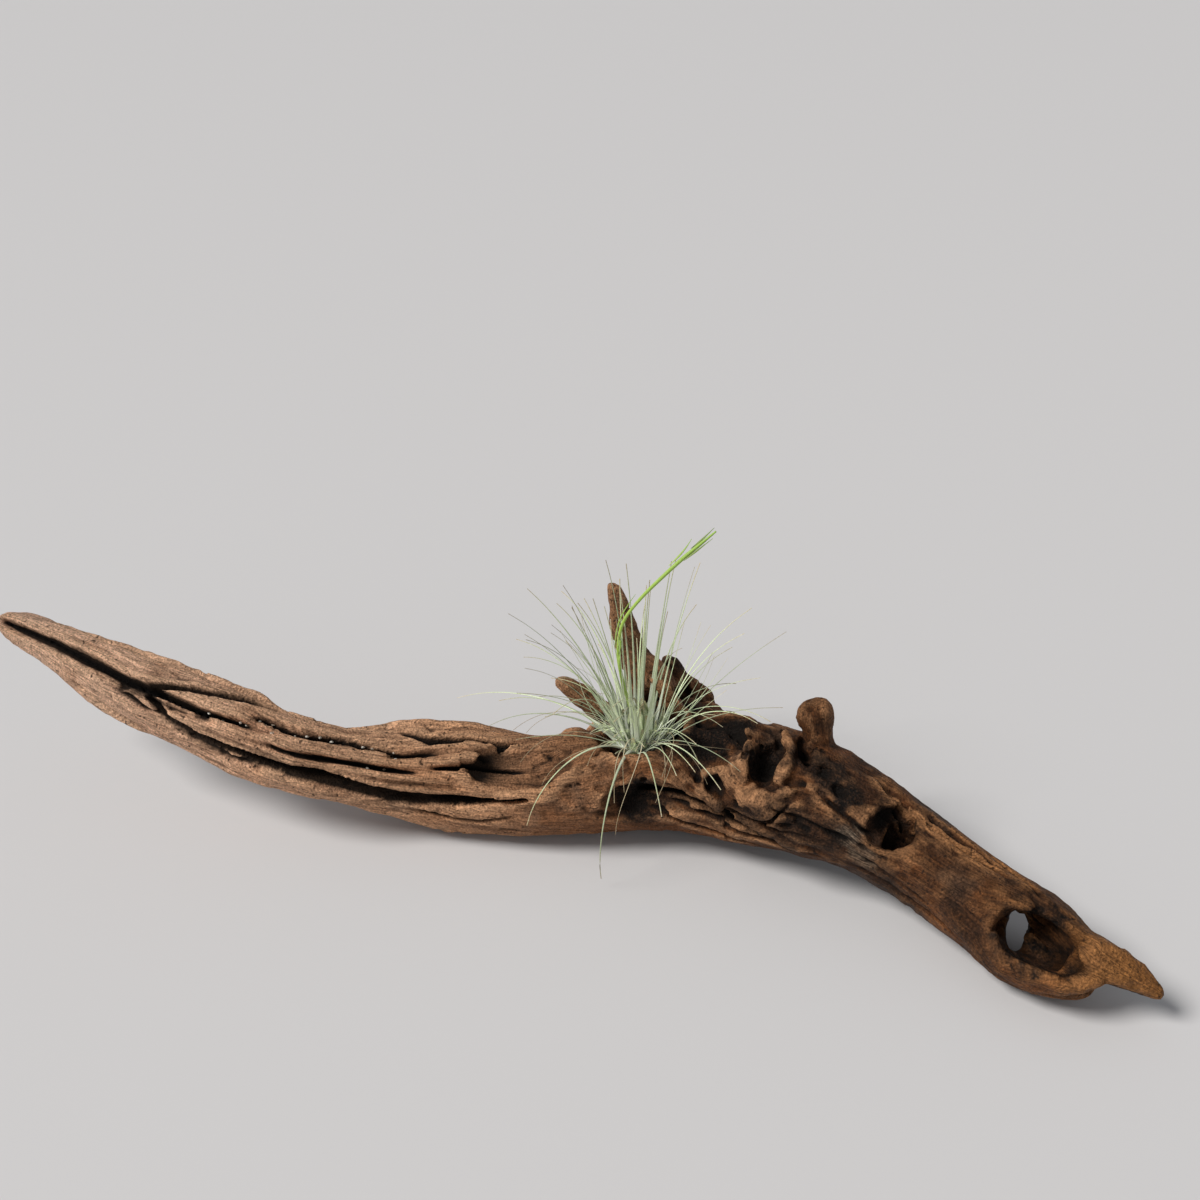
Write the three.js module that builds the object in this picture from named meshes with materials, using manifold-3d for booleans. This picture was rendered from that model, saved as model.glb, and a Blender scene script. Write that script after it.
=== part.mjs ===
// A piece of driftwood with an air plant seated in its hollow. Millimetres, +Z up.
//
// The wood is one piece that grew as one. A long fluted arm rises to the left, a burl in the
// middle carries a horn and broken branch stubs, and a thick hollow arm ends in a beak on the
// right. It is swept from sections, joined, and then hollowed where it has rotted out.
// The plant is an assembly: a rosette core, one solid for each leaf, a flower stalk and bracts.
// The wood lies along X, its front faces -Y, and it stands on three worn flats at Z = 0.
import * as THREE from "three";
import { mergeVertices } from "three/addons/utils/BufferGeometryUtils.js";
import Module from "manifold-3d";

const wasm = await Module();
wasm.setup();

// ---- Driving dimensions ----

const GAP = 0.35; // clear space between two pieces that touch in life
const TRUNK_SIDES = 36;
const TRUNK_RINGS = 42;

// The plant stands on the floor of the hollow in the burl.
const SEAT = new THREE.Vector3(13.5, 21, 39.5);
const CORE_HEIGHT = 13;
const CORE_RADIUS = 8.5;
const LEAF_COUNT = 44;
const SCALE_LEAF_COUNT = 6;
const GOLDEN_ANGLE = Math.PI * (3 - Math.sqrt(5));
const LEAF_SEGMENTS = 9;
const LEAF_LENGTH = 84;
const LEAF_HALF_WIDTH = 1.35;
const LEAF_HALF_THICKNESS = 0.5;
const FLARE = 0.5; // radians by which a leaf's foot leans out of the rosette
const FLARE_REACH = 0.08; // share of its length over which it straightens

// ---- The wood's sections: [x, y, z, half depth, half height] along each limb ----

const TRUNK = [
  [-322, -33, 79, 4, 5],
  [-316, -34, 78.6, 7, 8.5],
  [-304, -35, 77.5, 9.5, 10.5],
  [-283, -38, 75, 11, 11.5],
  [-253, -44, 70, 13.5, 15],
  [-229, -46, 64.5, 15.5, 17],
  [-206, -46, 59, 17, 19.5],
  [-185, -45, 53.5, 18, 21],
  [-164, -44, 47, 18.5, 21.5],
  [-141, -42, 41.5, 18, 20],
  [-122, -37, 36.5, 18, 19.5],
  [-106, -30, 32.5, 19.5, 21.5],
  [-89, -21, 29, 23.5, 25],
  [-69, -15, 26, 25, 25.8],
  [-50, -10, 24.6, 25.5, 25.2],
  [-29, -5, 24.2, 25, 24],
  [-8, 2, 25.6, 26, 25],
  [17, 11, 28, 26, 25.5],
  [42, 19, 31, 29, 27.5],
  [65, 21, 35, 30, 30],
  [87, 17, 37, 29, 29],
  [107, 11, 37.5, 27.5, 27],
  [127, 6, 35.5, 24.5, 23.5],
  [146, 1, 32, 22.5, 21.8],
  [165, -7, 28, 22, 21.5],
  [184, -17, 24.4, 21.5, 21],
  [202, -27, 21.2, 23, 22.8],
  [218, -34, 18.6, 20.5, 19.4],
  [229, -38, 16, 14, 13.6],
  [235, -40, 15, 6, 6],
];

const HORN = [
  [12, 54, 24, 14, 10],
  [8, 55, 44, 11, 9],
  [1, 55, 68, 8.6, 7],
  [-4, 55, 82, 7.6, 6],
  [-8, 54.5, 94, 7, 5.2],
  [-10.5, 54, 103, 6, 4.4],
  [-12, 54, 109, 4.4, 3.4],
  [-12.6, 54, 112, 2, 2],
];

const LEFT_STUB = [
  [4, 40, 36, 9, 9],
  [-5, 35, 45, 7.5, 7.5],
  [-15, 30, 54.5, 6, 6],
  [-25, 25.5, 64.5, 5, 4.8],
  [-30, 23.5, 69, 3.8, 3.6],
  [-31.6, 23, 70.6, 1.6, 1.6],
];

const STRUT = [
  [46, 10, 30, 11, 10],
  [40, 19, 44, 7.5, 8],
  [33, 29, 54, 5.6, 7],
  [24, 39, 62, 5.4, 6.6],
  [13, 48, 67, 6.4, 6.6],
  [4, 54, 68, 6, 6],
];

const TUBE_STUB = [
  [30, 68, 22, 12, 11],
  [24, 70, 40, 9.5, 9],
  [16, 70, 56, 8, 8],
  [12.5, 69.5, 63, 7, 7],
];

const NUB = [
  [36, 68, 24, 9, 9],
  [31, 72, 38, 7.5, 7],
  [28, 73, 47, 5, 5],
  [27, 73, 50, 2.4, 2.4],
];

const BACK_ROOT = [
  [30, 50, 16, 16, 14],
  [34, 66, 13, 13, 12],
  [38, 78, 7.8, 10, 9.6],
  [41, 86, 7, 6.5, 7],
];

const KNOB = [
  [106, 14, 42, 17, 13],
  [105, 20, 53, 10.5, 9.5],
  [103.5, 23, 61, 7, 7],
  [101, 23.5, 69, 8, 7.6],
  [99.2, 23.5, 76.5, 9, 8.4],
  [98, 23.8, 83, 7, 6.6],
  [97.5, 24, 86.6, 3, 3],
];

const BEAK = [
  [210, -27, 25, 10, 11],
  [224, -33, 25.5, 10, 10.5],
  [233, -35, 23, 8.6, 9.6],
  [242, -35.4, 19.6, 6.6, 7.6],
  [250, -35.8, 16, 4.6, 5],
  [257, -36, 13.4, 2.8, 2.8],
  [261, -36.4, 12.2, 1.2, 1.2],
];

const SLIVER = [
  [-277, -48, 63, 1.4, 1.6],
  [-262, -51, 59.5, 3, 3.2],
  [-245, -54, 54, 3.6, 3.8],
  [-228, -55, 49, 3.2, 3.4],
  [-212, -54, 44.5, 1.6, 1.8],
];

const TOP_FLAP = [
  [-286, -33, 81, 2.5, 2],
  [-262, -35, 79.5, 6, 3.4],
  [-230, -38, 75.5, 8.5, 4],
  [-195, -37, 69.5, 8.5, 4.2],
  [-170, -35, 62.5, 7, 4.4],
  [-157, -35, 58, 4.5, 3.4],
  [-150, -36, 55.6, 1.6, 1.6],
];

const BACK_LIP = [
  [-124, -27, 47.5, 2, 1.6],
  [-108, -18, 49.6, 5, 3.4],
  [-88, -9, 49.2, 6.5, 4.2],
  [-66, -2, 46, 7, 4.4],
  [-44, 3, 42.4, 6, 4],
  [-26, 7, 40, 3, 2.4],
];

// Cracks follow the grain along the trunk: [x, angle up from the front in degrees] points, how
// deep they cut, and half their width.
const CRACKS = [
  { run: [[-318, 34], [-283, 33], [-253, 42], [-229, 39], [-200, 39], [-172, 40]], depth: 9, half: 2.4 },
  { run: [[-238, 27], [-207, 9], [-186, 2], [-164, 0], [-141, 5]], depth: 9, half: 2.2 },
  { run: [[-146, 4], [-123, 8], [-89, 3], [-62, 9], [-40, 14]], depth: 11, half: 3.8 },
  { run: [[-176, 50], [-164, 56], [-141, 71], [-123, 78], [-89, 64], [-58, 61]], depth: 7, half: 2.2 },
  { run: [[-156, 38], [-123, 42], [-89, 38], [-72, 38]], depth: 5, half: 1.7 },
  { run: [[-84, 47], [-60, 50], [-40, 54]], depth: 7, half: 2 },
  { run: [[-276, -9], [-250, -8], [-222, -8]], depth: 5, half: 1.4 },
  { run: [[106, 96], [126, 104], [160, 97], [205, 92], [222, 92]], depth: 6, half: 1.8 },
  { run: [[112, 78], [150, 72], [190, 70]], depth: 4, half: 1.3 },
  { run: [[44, 5], [70, -1], [100, -10], [140, -16]], depth: 5, half: 2 },
  { run: [[-290, 118], [-200, 126], [-100, 120]], depth: 7, half: 2.2 },
  { run: [[-270, 205], [-180, 192], [-80, 200]], depth: 7, half: 2.4 },
  { run: [[-120, 158], [-40, 160]], depth: 8, half: 2.6 },
  { run: [[70, 172], [130, 165], [208, 176]], depth: 8, half: 2.6 },
  { run: [[90, 205], [190, 215]], depth: 5, half: 2 },
];

// ---- Shape helpers ----

const vector = (x, y, z) => new THREE.Vector3(x, y, z);
const radians = THREE.MathUtils.degToRad;
const lerp = THREE.MathUtils.lerp;

// A closed solid whose oval sections follow the stations. `side` is the way that angle 0 points,
// and `shape(angle, centre)` scales the section's radius at an angle.
function sweep(stations, side, { rings = stations.length, sides = 16, shape = () => 1 } = {}) {
  const line = new THREE.CatmullRomCurve3(stations.map((s) => vector(s[0], s[1], s[2])));
  const sizes = new THREE.CatmullRomCurve3(stations.map((s) => vector(s[3], s[4], 0)));
  const points = [];
  for (let i = 0; i < rings; i++) {
    const t = i / (rings - 1);
    const centre = line.getPoint(t);
    const along = line.getTangent(t);
    const front = side.clone().addScaledVector(along, -side.dot(along)).normalize();
    const rise = front.clone().cross(along);
    const size = sizes.getPoint(t);
    for (let j = 0; j < sides; j++) {
      const angle = (2 * Math.PI * j) / sides;
      const scale = shape(angle, centre);
      points.push(
        centre
          .clone()
          .addScaledVector(front, size.x * Math.cos(angle) * scale)
          .addScaledVector(rise, size.y * Math.sin(angle) * scale),
      );
    }
  }
  const faces = [];
  for (let i = 0; i + 1 < rings; i++) {
    for (let j = 0; j < sides; j++) {
      const [a, b] = [i * sides + j, i * sides + ((j + 1) % sides)];
      const [c, d] = [a + sides, b + sides];
      faces.push(a, c, b, b, c, d);
    }
  }
  const first = points.push(line.getPoint(0)) - 1;
  const last = points.push(line.getPoint(1)) - 1;
  const end = (rings - 1) * sides;
  for (let j = 0; j < sides; j++) {
    const next = (j + 1) % sides;
    faces.push(first, j, next, last, end + next, end + j);
  }
  return new THREE.BufferGeometry().setFromPoints(points).setIndex(faces);
}

// An uneven ball: the shape of a burl, a knot or a rotted hollow.
function lump(centre, radii, turn = [0, 0, 0], sides = 15) {
  const ball = new THREE.SphereGeometry(1, sides, Math.round(sides * 0.6));
  const place = ball.getAttribute("position");
  for (let i = 0; i < place.count; i++) {
    const p = vector().fromBufferAttribute(place, i);
    p.multiplyScalar(1 + 0.07 * Math.sin(3.1 * p.x + 2 * p.z) * Math.cos(2.7 * p.y - p.x));
    place.setXYZ(i, p.x, p.y, p.z);
  }
  ball.scale(...radii);
  const [x, y, z] = turn.map(radians);
  ball.applyMatrix4(new THREE.Matrix4().makeRotationFromEuler(new THREE.Euler(x, y, z)));
  return ball.translate(...centre);
}

// A closed geometry as a manifold solid, and back.
function solidOf(geometry) {
  const bare = geometry.clone();
  bare.deleteAttribute("normal");
  bare.deleteAttribute("uv");
  const merged = mergeVertices(bare, 1e-4);
  return new wasm.Manifold(
    new wasm.Mesh({
      numProp: 3,
      vertProperties: new Float32Array(merged.getAttribute("position").array),
      triVerts: new Uint32Array(merged.index.array),
    }),
  );
}

function geometryOf(solid) {
  const { vertProperties, triVerts } = solid.getMesh();
  return new THREE.BufferGeometry()
    .setAttribute("position", new THREE.BufferAttribute(vertProperties, 3))
    .setIndex(new THREE.BufferAttribute(triVerts, 1));
}

const touches = (a, b) => a.intersect(b).volume() > 1e-6;

// ---- The wood ----

function trunkShape(angle, centre) {
  return (
    1 +
    0.035 * Math.sin(2 * angle + centre.x / 27) +
    0.03 * Math.sin(3 * angle - centre.x / 19 + 1) +
    0.015 * Math.sin(5 * angle + centre.x / 13)
  );
}

// A thin blade that lies on the trunk along a crack and cuts into it.
function crackBlade({ run, depth, half }) {
  const stations = run.map(([x, degrees], i) => {
    const next = TRUNK.findIndex((station) => station[0] > x);
    const [before, after] = [TRUNK[next - 1], TRUNK[next]];
    const t = (x - before[0]) / (after[0] - before[0]);
    const [, y, z, across, up] = before.map((value, k) => lerp(value, after[k], t));
    const angle = radians(degrees);
    const fade = i === 0 || i === run.length - 1 ? 0.3 : 1;
    return [
      x,
      y - across * Math.cos(angle),
      z + up * Math.sin(angle),
      depth * fade,
      half * fade,
    ];
  });
  const middle = radians(run[Math.floor(run.length / 2)][1]);
  const outward = vector(0, -Math.cos(middle), Math.sin(middle));
  return sweep(stations, outward, { rings: 2 * run.length, sides: 4 });
}

function limbShape(angle, centre) {
  return 1 + 0.06 * Math.sin(3 * angle + centre.z / 9) + 0.03 * Math.sin(5 * angle - centre.z / 6);
}

const FRONT = vector(0, -1, 0);
const LEFT = vector(-1, 0, 0);

function makeDriftwood() {
  const limb = (stations, side, rings = 9, sides = 10) =>
    solidOf(sweep(stations, side, { rings, sides, shape: limbShape }));
  const joined = [
    limb(HORN, LEFT, 11, 12),
    limb(LEFT_STUB, FRONT),
    limb(STRUT, LEFT),
    limb(TUBE_STUB, LEFT, 6),
    limb(NUB, LEFT, 6, 8),
    limb(BACK_ROOT, LEFT, 6),
    limb(KNOB, LEFT, 11, 12),
    limb(BEAK, FRONT, 9),
    limb(SLIVER, FRONT, 8, 6),
    limb(TOP_FLAP, FRONT, 10, 8),
    limb(BACK_LIP, FRONT, 9, 8),
    solidOf(lump([25, 35, 27.5], [48, 33, 29], [0, 0, 18], 24)), // the burl
    solidOf(lump([-18, 16, 37], [13, 9, 10])), // shoulder behind the end of the flutes
    solidOf(lump([82, -7, 47], [7, 6, 7.5])), // small knots on the front
    solidOf(lump([94, -8, 49], [5.5, 5, 6])),
    solidOf(lump([66, 24, 62], [15, 8, 5], [0, 6, 14])), // flake along the crest
  ];
  const hollows = [
    lump([13, 17.5, 56], [22, 19, 21.5], [0, 0, 20], 22), // the seat of the plant
    lump([-33, -19, 45], [27, 12, 8], [30, 0, 14], 22), // scooped end of the flutes
    lump([27, -13, 35], [22, 9, 9], [10, 0, 16]), // under the rim
    lump([53, 8, 61], [15, 17, 8], [22, 0, 8], 20), // dished shoulder
    lump([82, 4, 62], [7.5, 15, 11], [22, 0, -8]), // folded ear
    lump([99, 12, 65], [3.4, 9, 9], [-10, 0, 20]), // gap beside the knob
    lump([60, -4, 48], [6, 5, 5], [20, 0, 10], 12), // small hole below the shoulder
    lump([142, -14, 50], [12, 8, 9], [35, 0, 12]), // ragged hole
    lump([209, -44, 33], [21, 13, 13], [30, 8, -18], 22), // mouth of the hollow arm
    lump([12, 62, 58], [5, 5, 12], [0, -22, 0], 10), // bore of the broken stub
    lump([26, 68, 48], [3, 3.4, 6], [0, -15, 0], 8), // bore of the small nub
    sweep(
      [
        [140, -8, 42, 8, 9],
        [160, -8, 33, 9, 9],
        [182, -17, 28, 10, 10],
        [206, -31, 25, 12, 11],
        [221, -38, 22, 8, 8],
      ],
      FRONT,
      { rings: 6, sides: 12 },
    ), // the rotted bore between the hole and the mouth
    sweep(
      [
        [199, -38, 32, 4.4, 10],
        [201, -22, 17, 4.4, 10],
        [203, -4, 0, 4.4, 10],
      ],
      LEFT,
      { rings: 3, sides: 10 },
    ), // where the bore has rotted through the underside
  ];
  let wood = solidOf(
    sweep(TRUNK, FRONT, { rings: TRUNK_RINGS, sides: TRUNK_SIDES, shape: trunkShape }),
  );
  for (const part of joined) wood = wood.add(part);
  for (const hollow of [...hollows, ...CRACKS.map(crackBlade)]) wood = wood.subtract(solidOf(hollow));
  const aboveGround = new THREE.BoxGeometry(800, 400, 300).translate(0, 0, 150);
  return wood.intersect(solidOf(aboveGround));
}

// ---- The air plant ----

// The rosette's short stem. Its radius at a height is also where the leaves start.
function coreRadius(height) {
  const t = height / CORE_HEIGHT;
  return CORE_RADIUS * Math.sqrt(Math.max(0, 1 - (2 * t - 0.8) ** 2 / 1.5)) * (1 - 0.25 * t);
}

function makeCore() {
  const steps = 10;
  const profile = [new THREE.Vector2(0, 0)];
  for (let i = 0; i <= steps; i++) {
    const height = (CORE_HEIGHT * i) / steps;
    profile.push(new THREE.Vector2(coreRadius(height), height));
  }
  profile.push(new THREE.Vector2(0, CORE_HEIGHT));
  return new THREE.LatheGeometry(profile, 20).rotateX(Math.PI / 2).translate(...SEAT.toArray());
}

// Stations of a blade that leaves the core at an azimuth and a rise, and bends to its fall.
function bladeStations(leaf, extra = 0) {
  const { azimuth, rise, fall, length, height, bend = 1.4, sway = 0, wide = 1 } = leaf;
  const start = coreRadius(height) + GAP + 0.5 * Math.abs(Math.sin(rise));
  const at = SEAT.clone().add(
    vector(start * Math.cos(azimuth), start * Math.sin(azimuth), height),
  );
  const stations = [];
  for (let i = 0; i <= LEAF_SEGMENTS; i++) {
    const t = i / LEAF_SEGMENTS;
    const slim = (1 - t) ** 2;
    const halfWidth = 0.3 + (LEAF_HALF_WIDTH * wide - 0.3) * slim;
    const halfThickness = 0.25 + (LEAF_HALF_THICKNESS - 0.25) * slim;
    stations.push([at.x, at.y, at.z, halfWidth + extra, halfThickness + extra]);
    const middle = (i + 0.5) / LEAF_SEGMENTS;
    const tilt = rise + (fall - rise) * middle ** bend - FLARE * Math.exp(-middle / FLARE_REACH);
    const heading = azimuth + sway * middle;
    const step = length / LEAF_SEGMENTS;
    at.x += step * Math.cos(tilt) * Math.cos(heading);
    at.y += step * Math.cos(tilt) * Math.sin(heading);
    at.z += step * Math.sin(tilt);
  }
  return stations;
}

function blade(leaf, extra) {
  const side = vector(Math.sin(leaf.azimuth), -Math.cos(leaf.azimuth), 0);
  return sweep(bladeStations(leaf, extra), side, { sides: 4 });
}

// Fractions that spread evenly, so that neighbouring leaves never look alike.
const spread = (k, step) => (0.5 + k * step) % 1;

// Leaf k of the spiral: the lowest lie out flat and arch down, the innermost stand up.
function spiralLeaf(k) {
  const rank = k / (LEAF_COUNT - 1);
  const [u, v, w] = [spread(k, 0.7549), spread(k, 0.5698), spread(k, 0.8192)];
  return {
    azimuth: k * GOLDEN_ANGLE,
    rise: radians(lerp(44, 88, rank) + 8 * (u - 0.5)),
    fall: radians(lerp(-40, 80, rank) + 44 * (v - 0.5) * (1 - 0.5 * rank)),
    length: LEAF_LENGTH * (0.72 + 0.34 * w + 0.1 * rank),
    height: 1.6 + (CORE_HEIGHT - 3.2) * rank,
    bend: 1.1 + 0.9 * u,
    sway: radians(26 * (w - 0.5)),
  };
}

// Leaves that hang over the front of the wood, arch far out, or lie on the seat's edge.
const CHARACTER_LEAVES = [
  { azimuth: -121, rise: 50, fall: -128, length: 88, height: 5, bend: 0.7 },
  { azimuth: -140, rise: 50, fall: -84, length: 76, height: 4.4, bend: 0.8 },
  { azimuth: -14, rise: 44, fall: -34, length: 78, height: 5, bend: 0.8 },
  { azimuth: 10, rise: 40, fall: 2, length: 92, height: 5, bend: 0.8 },
  { azimuth: 30, rise: 46, fall: 26, length: 94, height: 6, bend: 1 },
  { azimuth: 176, rise: 44, fall: -30, length: 96, height: 4.6, bend: 0.8 },
  { azimuth: -166, rise: 46, fall: -52, length: 84, height: 3.6, bend: 0.8 },
  { azimuth: 160, rise: 50, fall: 4, length: 96, height: 5.4, bend: 0.9 },
].map((leaf) => ({
  ...leaf,
  azimuth: radians(leaf.azimuth),
  rise: radians(leaf.rise),
  fall: radians(leaf.fall),
}));

// The short silver scales at the foot of the rosette.
function scaleLeaf(k) {
  return {
    azimuth: radians(-150 + k * 33),
    rise: radians(58),
    fall: radians(-20),
    length: 10 + 4 * spread(k, 0.618),
    height: 1.6,
    wide: 1.3,
  };
}

// Grows a leaf clear of what is there already: it stands a little steeper until it is free.
function growLeaf(leaf, neighbours) {
  for (let attempt = 0; attempt < 40; attempt++) {
    const turn = radians(3.5 * Math.ceil(attempt / 2) * (attempt % 2 ? 1 : -1));
    const lift = radians(1.2 * attempt);
    const grown = {
      ...leaf,
      azimuth: leaf.azimuth + turn,
      rise: Math.min(leaf.rise + lift, radians(86)),
      fall: Math.min(leaf.fall + lift, radians(84)),
    };
    const room = solidOf(blade(grown, GAP / 2));
    if (!neighbours.some((other) => touches(room, other))) return grown;
  }
  return null;
}

// The flower stalk climbs out of the rosette and leans away over the horn.
const STALK = [
  [12.6, 22, SEAT.z + CORE_HEIGHT + GAP, 1, 1],
  [9, 21.6, 62, 1.05, 1.05],
  [4.5, 21, 78, 1, 1],
  [2, 21, 96, 0.95, 0.95],
  [4, 22.4, 111, 0.9, 0.9],
  [11, 25.4, 123, 0.9, 0.9],
  [20, 29.4, 134, 1, 1],
  [29, 33.4, 144, 1.05, 1.05],
  [36, 36, 151, 0.9, 0.9],
  [43, 38.6, 158, 0.45, 0.45],
];

// Bracts lie along the stalk: where each starts, how far it reaches, and the way it faces.
const BRACTS = [
  { from: 0.16, to: 0.4, face: vector(0.3, -0.9, 0.2), open: 1.6 },
  { from: 0.34, to: 0.56, face: vector(-0.9, 0.2, 0.2), open: 1.4 },
  { from: 0.72, to: 0.88, face: vector(-0.5, 0.2, 0.8), open: 2.6 },
  { from: 0.78, to: 0.97, face: vector(0.4, -0.9, -0.2), open: 0.8 },
  { from: 0.84, to: 1, face: vector(-0.4, 0.9, 0.3), open: 1 },
];

function makeBract({ from, to, face, open }) {
  const line = new THREE.CatmullRomCurve3(STALK.map((s) => vector(s[0], s[1], s[2])));
  const widths = [0.4, 1.2, 1.5, 1.2, 0.7, 0.25];
  const stations = widths.map((width, i) => {
    const t = i / (widths.length - 1);
    const spot = line.getPoint(lerp(from, to, t));
    const along = line.getTangent(lerp(from, to, t));
    const out = face.clone().addScaledVector(along, -face.dot(along)).normalize();
    spot.addScaledVector(out, 1.9 + open * t * t);
    return [spot.x, spot.y, spot.z, width, 0.3 + 0.2 * Math.sin(Math.PI * t)];
  });
  const along = line.getTangent((from + to) / 2);
  return sweep(stations, along.cross(face).normalize(), { sides: 6 });
}

// ---- The whole object ----

const WOOD = new THREE.MeshStandardMaterial({ color: 0x8a6549, roughness: 0.85, metalness: 0 });
const LEAF = new THREE.MeshStandardMaterial({ color: 0xa9b597, roughness: 0.7, metalness: 0 });
const STEM = new THREE.MeshStandardMaterial({ color: 0x6f9a34, roughness: 0.5, metalness: 0 });

const display = new THREE.Group();

function addPiece(name, geometry, material) {
  const mesh = new THREE.Mesh(geometry, material);
  mesh.name = name;
  display.add(mesh);
}

const number = (k) => String(k + 1).padStart(2, "0");

const driftwood = makeDriftwood();
addPiece("driftwood", geometryOf(driftwood), WOOD);

const core = makeCore();
addPiece("rosette_core", core, LEAF);

const stalk = sweep(STALK, LEFT, { rings: 26, sides: 8 });
addPiece("flower_stalk", stalk, STEM);

const grownSolids = [driftwood, solidOf(core), solidOf(stalk)];
BRACTS.forEach((bract, k) => {
  const geometry = makeBract(bract);
  addPiece(`flower_bract_${k + 1}`, geometry, STEM);
  grownSolids.push(solidOf(geometry));
});

function addLeaves(prefix, leaves) {
  let made = 0;
  for (const leaf of leaves) {
    const grown = growLeaf(leaf, grownSolids);
    if (!grown) continue;
    const geometry = blade(grown);
    addPiece(prefix + number(made), geometry, LEAF);
    grownSolids.push(solidOf(geometry));
    made += 1;
  }
}

const spiral = Array.from({ length: LEAF_COUNT }, (_, k) => spiralLeaf(k));
const scales = Array.from({ length: SCALE_LEAF_COUNT }, (_, k) => scaleLeaf(k));
addLeaves("leaf_", [...CHARACTER_LEAVES, ...spiral.slice(CHARACTER_LEAVES.length)]);
addLeaves("scale_leaf_", scales);

// The origin is under the middle of the whole object, on the surface that it stands on.
const box = new THREE.Box3().setFromObject(display);
const middle = box.getCenter(vector());
display.position.set(-middle.x, -middle.y, 0);

const root = new THREE.Group().add(display);
export default root;
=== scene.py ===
# %% Load the CAD part
import math

import bpy
import numpy as np
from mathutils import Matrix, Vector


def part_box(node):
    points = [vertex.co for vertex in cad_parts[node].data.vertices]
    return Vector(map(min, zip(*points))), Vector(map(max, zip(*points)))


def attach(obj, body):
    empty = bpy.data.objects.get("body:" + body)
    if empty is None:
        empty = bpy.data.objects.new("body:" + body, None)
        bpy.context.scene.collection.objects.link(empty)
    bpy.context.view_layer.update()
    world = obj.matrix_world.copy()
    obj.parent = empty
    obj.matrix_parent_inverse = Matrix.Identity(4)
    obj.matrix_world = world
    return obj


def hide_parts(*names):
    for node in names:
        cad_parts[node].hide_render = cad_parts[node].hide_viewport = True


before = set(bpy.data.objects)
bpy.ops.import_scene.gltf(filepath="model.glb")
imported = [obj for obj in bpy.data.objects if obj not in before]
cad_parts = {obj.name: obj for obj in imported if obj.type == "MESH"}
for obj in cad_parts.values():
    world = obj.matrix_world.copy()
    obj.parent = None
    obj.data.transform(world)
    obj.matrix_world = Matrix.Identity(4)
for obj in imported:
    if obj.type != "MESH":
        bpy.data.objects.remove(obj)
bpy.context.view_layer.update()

import openvdb
from mathutils import Vector

# %% [markdown]
# # A piece of driftwood with an air plant
# The wood grew as one piece: a long fluted arm, a burl with a horn and broken branch stubs, and
# a hollow arm that ends in a beak. Sand and sea have worn away the soft wood between the hard
# rings, so its surface is all ridges, cracks and pits. A small air plant sits in the hollow of
# the burl. The CAD part gives every piece its place and size. Here each one gets its skin.
#
# ## Where things are
# The features listed below are measured in millimetres in the frame that the part was drawn
# in, in which the foot of the plant is at SEAT_DRAWN. The rosette core's box says where that foot
# is in the finished part, so one shift carries every number over.

# %% Places, colours and nodes
SEAT_DRAWN = np.array([13.5, 21.0, 39.5])
core_low, core_high = (np.array(corner) * 1000 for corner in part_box("rosette_core"))
SEAT = np.array([(core_low[0] + core_high[0]) / 2, (core_low[1] + core_high[1]) / 2, core_low[2]])
SHIFT = SEAT - SEAT_DRAWN
print("drawn frame to part frame (mm):", SHIFT.round(2))


def linear(colour):
    """The linear RGBA of an sRGB hex colour."""
    channels = [int(colour[i : i + 2], 16) / 255 for i in (1, 3, 5)]
    return [c / 12.92 if c <= 0.04045 else ((c + 0.055) / 1.055) ** 2.4 for c in channels] + [1.0]


def add(tree, kind, inputs=None, **settings):
    """Adds a node with its settings. Each input is a value, or the output that feeds it."""
    node = tree.nodes.new(kind)
    for name, value in settings.items():
        setattr(node, name, value)
    for key, value in (inputs or {}).items():
        if isinstance(value, bpy.types.NodeSocket):
            tree.links.new(value, node.inputs[key])
        else:
            node.inputs[key].default_value = value
    return node


# %% [markdown]
# ## Camera
# The wood is seen from its front, 19 degrees round to the right and 30 degrees above, through a
# lens with the field of view of a phone. It could be aimed with a constraint that tracks the wood,
# but a fixed place and two angles say more plainly where it stands. The camera is made first, so
# that every later step can be looked at as soon as it is done.

# %% Camera
camera = bpy.data.objects.new("camera", bpy.data.cameras.new("camera"))
bpy.context.scene.collection.objects.link(camera)
camera.data.lens = 36
camera.data.sensor_width = 36
camera.data.clip_start = 0.01
camera.location = (np.array([153.0, -444.4, 406.0]) + SHIFT * [1, 1, 0]) / 1000
camera.rotation_euler = (math.radians(60), 0, math.radians(19))
bpy.context.scene.camera = camera
print("camera at (m):", [round(v, 3) for v in camera.location])

# %% [markdown]
# ## Noise
# Wood has no two places alike, but nothing here may change from run to run. So the roughness is
# value noise: a fixed number at each point of a lattice, blended smoothly in between. Stretched
# along the grain it gives fibres, and unstretched it gives lumps and rot.


# %% Noise
def lattice(i, j, k, seed):
    """A fixed number from -1 to 1 for each whole-number point."""
    h = i.astype(np.uint32) * np.uint32(374761393) + j.astype(np.uint32) * np.uint32(668265263)
    h += k.astype(np.uint32) * np.uint32(2246822519) + np.uint32(seed * 3266489917 % 2**32)
    h = (h ^ (h >> np.uint32(13))) * np.uint32(1274126177)
    h = (h ^ (h >> np.uint32(15))) * np.uint32(2246822519)
    return ((h ^ (h >> np.uint32(16))).astype(np.float32) / 2147483648.0) - 1.0


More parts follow.
